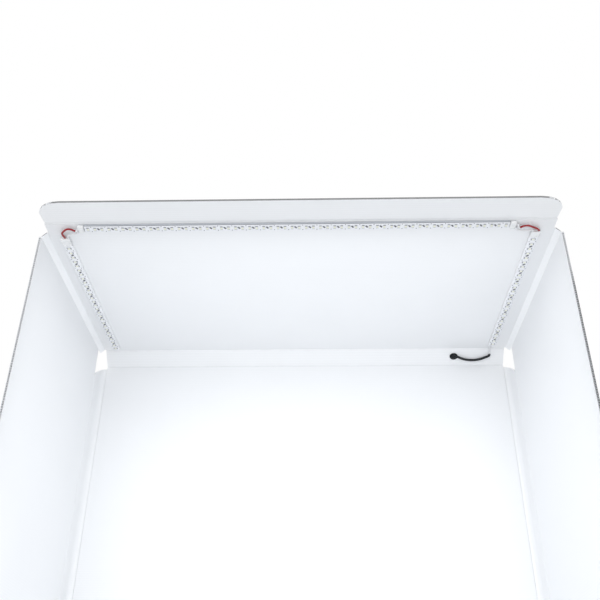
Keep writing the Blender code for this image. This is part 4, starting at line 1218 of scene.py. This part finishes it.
def build_jumper(node, route):
    colour = "red" if "red" in node else "white"
    points = relaxed(smooth_route(route, WIRE_SPACING / 2), JUMPER_EASING)
    curve = wire_curve(f"{node}_wire", points, JUMPER_DIAMETER)
    piece = add_piece(f"{node}_wire", curve, f"{colour}_insulation", "ceiling", [node])
    length = route_length(points)
    if length > DECLARED_CORD:
        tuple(points[0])


def build_feed_wires():
    """Two thin wires that cross the ceiling's rear crease."""
    for node, route in (("feed_wire_plus", FEED_PLUS), ("feed_wire_minus", FEED_MINUS)):
        mesh = tube_mesh(f"{node}_bend", smooth_route(route, WIRE_SPACING), FEED_DIAMETER)
        piece = add_piece(f"{node}_bend", mesh, "white_insulation", None, [node])
        Vector(route[0])
        Vector(route[-1])
        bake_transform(piece)


# Supply lead, gland and plug

def coil_points():
    """Loops that spiral in on the table, climb a layer in half a turn and spiral out on top."""
    centre = Vector((*COIL_CENTRE, 0))
    low_z = LEAD_DIAMETER / 2 + LEAD_TABLE_GAP
    inward = (COIL_TURNS - 0.5) / 2
    steps = round(COIL_TURNS * COIL_POINTS_PER_TURN)
    points = []
    for step in range(steps + 1):
        turns = COIL_TURNS * step / steps
        if turns <= inward:
            radius, lift = COIL_OUTER - COIL_PITCH * turns, 0.0
        elif turns <= inward + 0.5:
            radius, lift = COIL_INNER, (turns - inward) / 0.5
        else:
            radius, lift = COIL_INNER + COIL_PITCH * (turns - inward - 0.5), 1.0
        angle = 2 * math.pi * turns
        flat = (radius * math.cos(angle), radius * math.sin(angle))
        points.append(centre + Vector((*flat, low_z + COIL_PITCH * lift)))
    end = points[-1]
    body_low, body_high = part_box("plug_body")
    drop = end.z - (body_low.z + body_high.z) / 2
    for share, fall in COIL_TAIL_FALLS:
        points.append(Vector((end.x - COIL_TAIL * share, end.y, end.z - drop * fall)))
    return points


def grooved_taper(count, depth, shares, first, last, start, run):
    """Profile of a taper from one radius to another; shares say where each groove's land and floor end."""
    points = []
    for groove in range(count):
        for share, sunk in zip(shares, (0, 0, 1, 1)):
            travel = (groove + share) / count
            points.append((first + (last - first) * travel - depth * sunk, start + run * travel))
    return points


def build_lead(name, points, nodes):
    curve = wire_curve(name, points, LEAD_DIAMETER)
    return add_piece(name, curve, "black_jacket", "back", nodes)


def build_gland():
    low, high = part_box("cable_gland")
    outward = Vector((0, math.sin(SPINE_ANGLE), math.cos(SPINE_ANGLE)))
    along = SPINE_LENGTH * GLAND_SPINE_SHARE
    x = (low.x + high.x) / 2
    centre = Vector((x, REAR_Y + along * math.cos(SPINE_ANGLE), CEILING_Z - along * math.sin(SPINE_ANGLE)))
    inner = -HALF - GLAND_GAP
    outer = HALF + GLAND_GAP
    profile = [(0, inner - GLAND_DOME_HEIGHT)]
    dome_foot = inner - GLAND_RIM_HEIGHT
    for step in range(GLAND_DOME_STEPS + 1):
        turn = math.pi / 2 * step / GLAND_DOME_STEPS
        profile.append((
            GLAND_DOME / 2 * (GLAND_DOME_TOP_SHARE + (1 - GLAND_DOME_TOP_SHARE) * math.sin(turn)),
            dome_foot - (GLAND_DOME_HEIGHT - GLAND_RIM_HEIGHT) * math.cos(turn),
        ))
    rim, neck, edge = GLAND_RIM / 2, GLAND_NECK / 2, GLAND_RIM_HEIGHT / 4
    profile += [
        (rim - edge, dome_foot), (rim, dome_foot + edge), (rim, inner - edge / 2), (rim - edge, inner),
        (neck, inner), (neck, outer),
        (rim - edge, outer), (rim, outer + edge), (rim, outer + GLAND_RIM_HEIGHT - edge),
    ]
    tail_start = outer + GLAND_RIM_HEIGHT
    run = GLAND_TAIL_LENGTH - GLAND_RIM_HEIGHT
    profile += grooved_taper(
        GLAND_GROOVES, GLAND_GROOVE, GLAND_GROOVE_SHARES, rim, GLAND_TAIL / 2, tail_start, run
    )
    profile += [(GLAND_TAIL / 2, outer + GLAND_TAIL_LENGTH), (0, outer + GLAND_TAIL_LENGTH)]
    mesh = lathe("lead_gland", profile, centre, outward, GLAND_SIDES)
    downhill = Vector((0, math.cos(SPINE_ANGLE), -math.sin(SPINE_ANGLE)))
    for vert in mesh.vertices:
        vert.co -= downhill * downhill.dot(vert.co - centre) * (1 - GLAND_OVAL_SHARE)
    add_piece("lead_gland", mesh, "black_rubber_moulding", "back", ["cable_gland"])


def build_plug():
    """Grooved strain relief, ridged moulded body, and contacts on the tongue inside the shell."""
    low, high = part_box("plug_strain_relief")
    centre, length = (low + high) / 2, high.x - low.x
    thin, thick = LEAD_DIAMETER / 2 + RELIEF_GROOVE, (high.z - low.z) / 2
    profile = [(0, -length / 2)]
    profile += grooved_taper(
        RELIEF_GROOVES, RELIEF_GROOVE, RELIEF_GROOVE_SHARES, thin, thick, -length / 2, length
    )
    profile += [(thick, length / 2), (0, length / 2)]
    relief = lathe("grooved_relief", profile, centre, Vector((-1, 0, 0)), RELIEF_SIDES)

    low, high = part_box("plug_body")
    size, centre = high - low, (low + high) / 2
    rounding = size.z * PLUG_ROUNDING_SHARE
    body = bevelled_boxes("moulded_plug", [(size, centre)], rounding, PLUG_ROUNDING_SEGMENTS)
    body.shade_smooth()
    body.set_sharp_from_angle(angle=ROUND_ANGLE)
    ridge = (2 * PLUG_RIDGE, 2 * PLUG_RIDGE, PLUG_RIDGE_HEIGHT_SHARE * size.z)
    boxes = []
    for index in range(PLUG_RIDGES):
        x = low.x + size.x * (PLUG_RIDGE_START + PLUG_RIDGE_SPAN * index / (PLUG_RIDGES - 1))
        boxes += [(ridge, (x, centre.y + side * size.y / 2, centre.z)) for side in (-1, 1)]
    ridges = bevelled_boxes("plug_ridges", boxes, PLUG_RIDGE / 3, 2)

    low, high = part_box("plug_tongue")
    contact = (CONTACT_LENGTH_SHARE * (high.x - low.x), CONTACT_WIDTH, CONTACT_HEIGHT)
    rows = [low.y + (high.y - low.y) * (index + 0.5) / CONTACTS for index in range(CONTACTS)]
    boxes = [(contact, ((low.x + high.x) / 2, y, low.z)) for y in rows]
    contacts = bevelled_boxes("plug_contacts", boxes, CONTACT_HEIGHT / 4, 2)
    made = (
        (relief, "black_rubber_moulding", "black_rubber", ["plug_strain_relief"]),
        (body, "black_rubber_moulding", "black_rubber", ["plug_body"]),
        (ridges, "black_rubber_moulding", "black_rubber", ()),
        (contacts, "gold_contact", "plated_shell", ()),
    )
    pieces = [add_piece(mesh.name, mesh, look, "back", nodes) for mesh, look, slot, nodes in made]
    dress_node("plug_shell", "nickel_plate")
    dress_node("plug_tongue", "white_insulation")
    return pieces


# The studio

def build_camera():
    data = bpy.data.cameras.new("photo_camera")
    data.lens = CAMERA_LENS
    data.shift_y = CAMERA_SHIFT
    data.clip_start = CAMERA_CLIP
    camera = bpy.data.objects.new("photo_camera", data)
    forward = Vector((
        -math.sin(CAMERA_YAW) * math.cos(CAMERA_PITCH),
        math.cos(CAMERA_YAW) * math.cos(CAMERA_PITCH),
        math.sin(CAMERA_PITCH),
    ))
    right = Vector((math.cos(CAMERA_YAW), math.sin(CAMERA_YAW), 0))
    up = right.cross(forward)
    rolled_right = math.cos(CAMERA_ROLL) * right + math.sin(CAMERA_ROLL) * up
    rolled_up = math.cos(CAMERA_ROLL) * up - math.sin(CAMERA_ROLL) * right
    turn = Matrix((rolled_right, rolled_up, -forward)).transposed()
    camera.matrix_world = Matrix.Translation(CAMERA_PLACE) @ turn.to_4x4()
    bpy.context.scene.collection.objects.link(camera)
    bpy.context.scene.camera = camera


def area_light(name, place, target, size, power):
    data = bpy.data.lights.new(name, "AREA")
    data.shape = "RECTANGLE"
    data.size, data.size_y = size
    data.energy = power
    light = bpy.data.objects.new(name, data)
    light.location = place
    light.rotation_euler = (Vector(target) - Vector(place)).to_track_quat("-Z", "Y").to_euler()
    bpy.context.scene.collection.objects.link(light)
    return light


def build_floor_and_light():
    studio = chosen("studio")
    mesh = bpy.data.meshes.new("studio_floor")
    corners = [(x * FLOOR_REACH, y * FLOOR_REACH, 0) for x, y in ((-1, -1), (1, -1), (1, 1), (-1, 1))]
    mesh.from_pydata(corners, [], [(0, 1, 2, 3)])
    mesh.materials.append(finish("studio_floor"))
    floor = bpy.data.objects.new("studio_floor", mesh)
    bpy.context.scene.collection.objects.link(floor)

    world = bpy.data.worlds.new("studio_surroundings")
    bpy.context.scene.world = world
    world.use_nodes = True
    tree = world.node_tree
    backdrop = tree.nodes["Background"]
    backdrop.inputs["Color"].default_value = (1.0, 1.0, 1.0, 1.0)
    path = add_node(tree, "ShaderNodeLightPath")
    strength = add_node(tree, "ShaderNodeMapRange", {"To Min": studio.ambient, "To Max": 1.0})
    join(tree, (path, "Is Camera Ray", strength, "Value"), (strength, "Result", backdrop, "Strength"))
    bpy.context.scene.view_settings.view_transform = "Standard"
    for name, (place, target, size) in LIGHTS.items():
        light = area_light(f"{name}_light", place, target, size, getattr(studio, f"{name}_power"))
        if name == "opening":
            light.visible_camera = False


# Operators, in the order in which the pieces are made

class LIGHTBOX_OT_camera(bpy.types.Operator):
    """Place the camera low in front of the box, looking up at its ceiling"""

    bl_idname = "lightbox.camera"
    bl_label = "Camera"

    def execute(self, context):
        build_camera()
        return {"FINISHED"}


class LIGHTBOX_OT_supply_lead(bpy.types.Operator):
    """Lay the black supply lead, its gland and its plug"""

    bl_idname = "lightbox.supply_lead"
    bl_label = "Supply lead"

    def execute(self, context):
        build_gland()
        inner = smooth_route(INNER_LEAD, LEAD_SPACING / 2)
        build_lead("inside_lead", inner, ["inner_lead"])
        route_length(inner)
        plug_pieces = build_plug()
        outer = smooth_route(OUTER_LEAD, LEAD_SPACING) + coil_points()
        build_lead("outside_lead", outer, ["outer_lead", "lead_coil"])
        route_length(outer)
        return {"FINISHED"}


class LIGHTBOX_OT_jumper_wires(bpy.types.Operator):
    """Run the red and white jumper wires, their sleeves and the feed wires"""

    bl_idname = "lightbox.jumper_wires"
    bl_label = "Jumper wires"

    def execute(self, context):
        for node, route in JUMPERS.items():
            build_jumper(node, route)
        for node, route in SLEEVES.items():
            build_sleeve(node, route)
        build_feed_wires()
        return {"FINISHED"}


class LIGHTBOX_OT_sheets(bpy.types.Operator):
    """Make the hollow twin-wall panels, and finish the bands and flanges"""

    bl_idname = "lightbox.sheets"
    bl_label = "Sheets"

    def execute(self, context):
        build_flat_sheets()
        build_flap_sheet()
        build_wall_sheet("left", -1, "cut_sheet_edge")
        # The right wall's cut edge carries the painted shadow line
        build_wall_sheet("right", 1, SHADOW_LINED_EDGE)
        build_flange_sheet("left", -1)
        build_flange_sheet("right", 1)
        for node in ("ceiling_spine", "floor_spine"):
            dress_node(node, "sheet_with_ribs_along_y")
        for node in ("left_corner_spine", "right_corner_spine"):
            dress_node(node, "sheet_with_ribs_along_z")
        return {"FINISHED"}


class LIGHTBOX_OT_creases(bpy.types.Operator):
    """Press the creases that join the panels"""

    bl_idname = "lightbox.creases"
    bl_label = "Creases"

    def execute(self, context):
        build_creases()
        return {"FINISHED"}


class LIGHTBOX_OT_led_strips(bpy.types.Operator):
    """Make the three LED strips on their foam tape, with glue over their ends"""

    bl_idname = "lightbox.led_strips"
    bl_label = "LED strips"

    def execute(self, context):
        settings = chosen("strip")
        # The front board's edge is painted near black: painted shade
        build_strip("front", settings.front_leds, Vector((1, 0, 0)), "cut_board_edge")
        build_strip("left", settings.side_leds, Vector((0, 1, 0)), "solder_mask")
        build_strip("right", settings.side_leds, Vector((0, 1, 0)), "solder_mask")
        # The front tape's grey is painted shade; the side tapes are the foam's own white
        for side, foam in (("front", "grey"), ("left", "white"), ("right", "white")):
            dress_node(f"{side}_strip_tape", f"{foam}_foam_tape")
        for end in ("front_strip_left", "front_strip_right", "left_strip_front", "right_strip_front"):
            build_cap(f"{end}_cap")
        return {"FINISHED"}


class LIGHTBOX_OT_studio(bpy.types.Operator):
    """Lay the pale floor and set the soft lights"""

    bl_idname = "lightbox.studio"
    bl_label = "Studio"

    def execute(self, context):
        build_floor_and_light()
        return {"FINISHED"}


class LIGHTBOX_PT_panel(bpy.types.Panel):
    """The light box's settings and steps in the sidebar"""

    bl_label = "Light box"
    bl_idname = "LIGHTBOX_PT_panel"
    bl_space_type = "VIEW_3D"
    bl_region_type = "UI"
    bl_category = "Light box"

    def draw(self, context):
        for settings in (getattr(context.scene, name) for name in SETTINGS):
            box = self.layout.box()
            for name in settings.__annotations__:
                box.prop(settings, name)
        for step in STEPS:
            self.layout.operator(step.bl_idname)


SETTINGS = {
    "light_box_sheet": LightBoxSheet,
    "light_box_strip": LightBoxStrip,
    "light_box_wiring": LightBoxWiring,
    "light_box_studio": LightBoxStudio,
}
STEPS = (
    LIGHTBOX_OT_camera, LIGHTBOX_OT_supply_lead, LIGHTBOX_OT_jumper_wires, LIGHTBOX_OT_sheets,
    LIGHTBOX_OT_creases, LIGHTBOX_OT_led_strips, LIGHTBOX_OT_studio,
)


def register():
    for settings_class in SETTINGS.values():
        bpy.utils.register_class(settings_class)
    for name, settings_class in SETTINGS.items():
        setattr(bpy.types.Scene, name, PointerProperty(type=settings_class))
    for step in STEPS:
        bpy.utils.register_class(step)
    bpy.utils.register_class(LIGHTBOX_PT_panel)


def unregister():
    bpy.utils.unregister_class(LIGHTBOX_PT_panel)
    for step in reversed(STEPS):
        bpy.utils.unregister_class(step)
    for name in SETTINGS:
        delattr(bpy.types.Scene, name)
    for settings_class in reversed(SETTINGS.values()):
        bpy.utils.unregister_class(settings_class)


def main():
    register()
    bpy.ops.lightbox.camera()
    bpy.ops.lightbox.supply_lead()
    bpy.ops.lightbox.jumper_wires()
    bpy.ops.lightbox.sheets()
    bpy.ops.lightbox.creases()
    bpy.ops.lightbox.led_strips()
    bpy.ops.lightbox.studio()


if __name__ == "__main__":
    main()
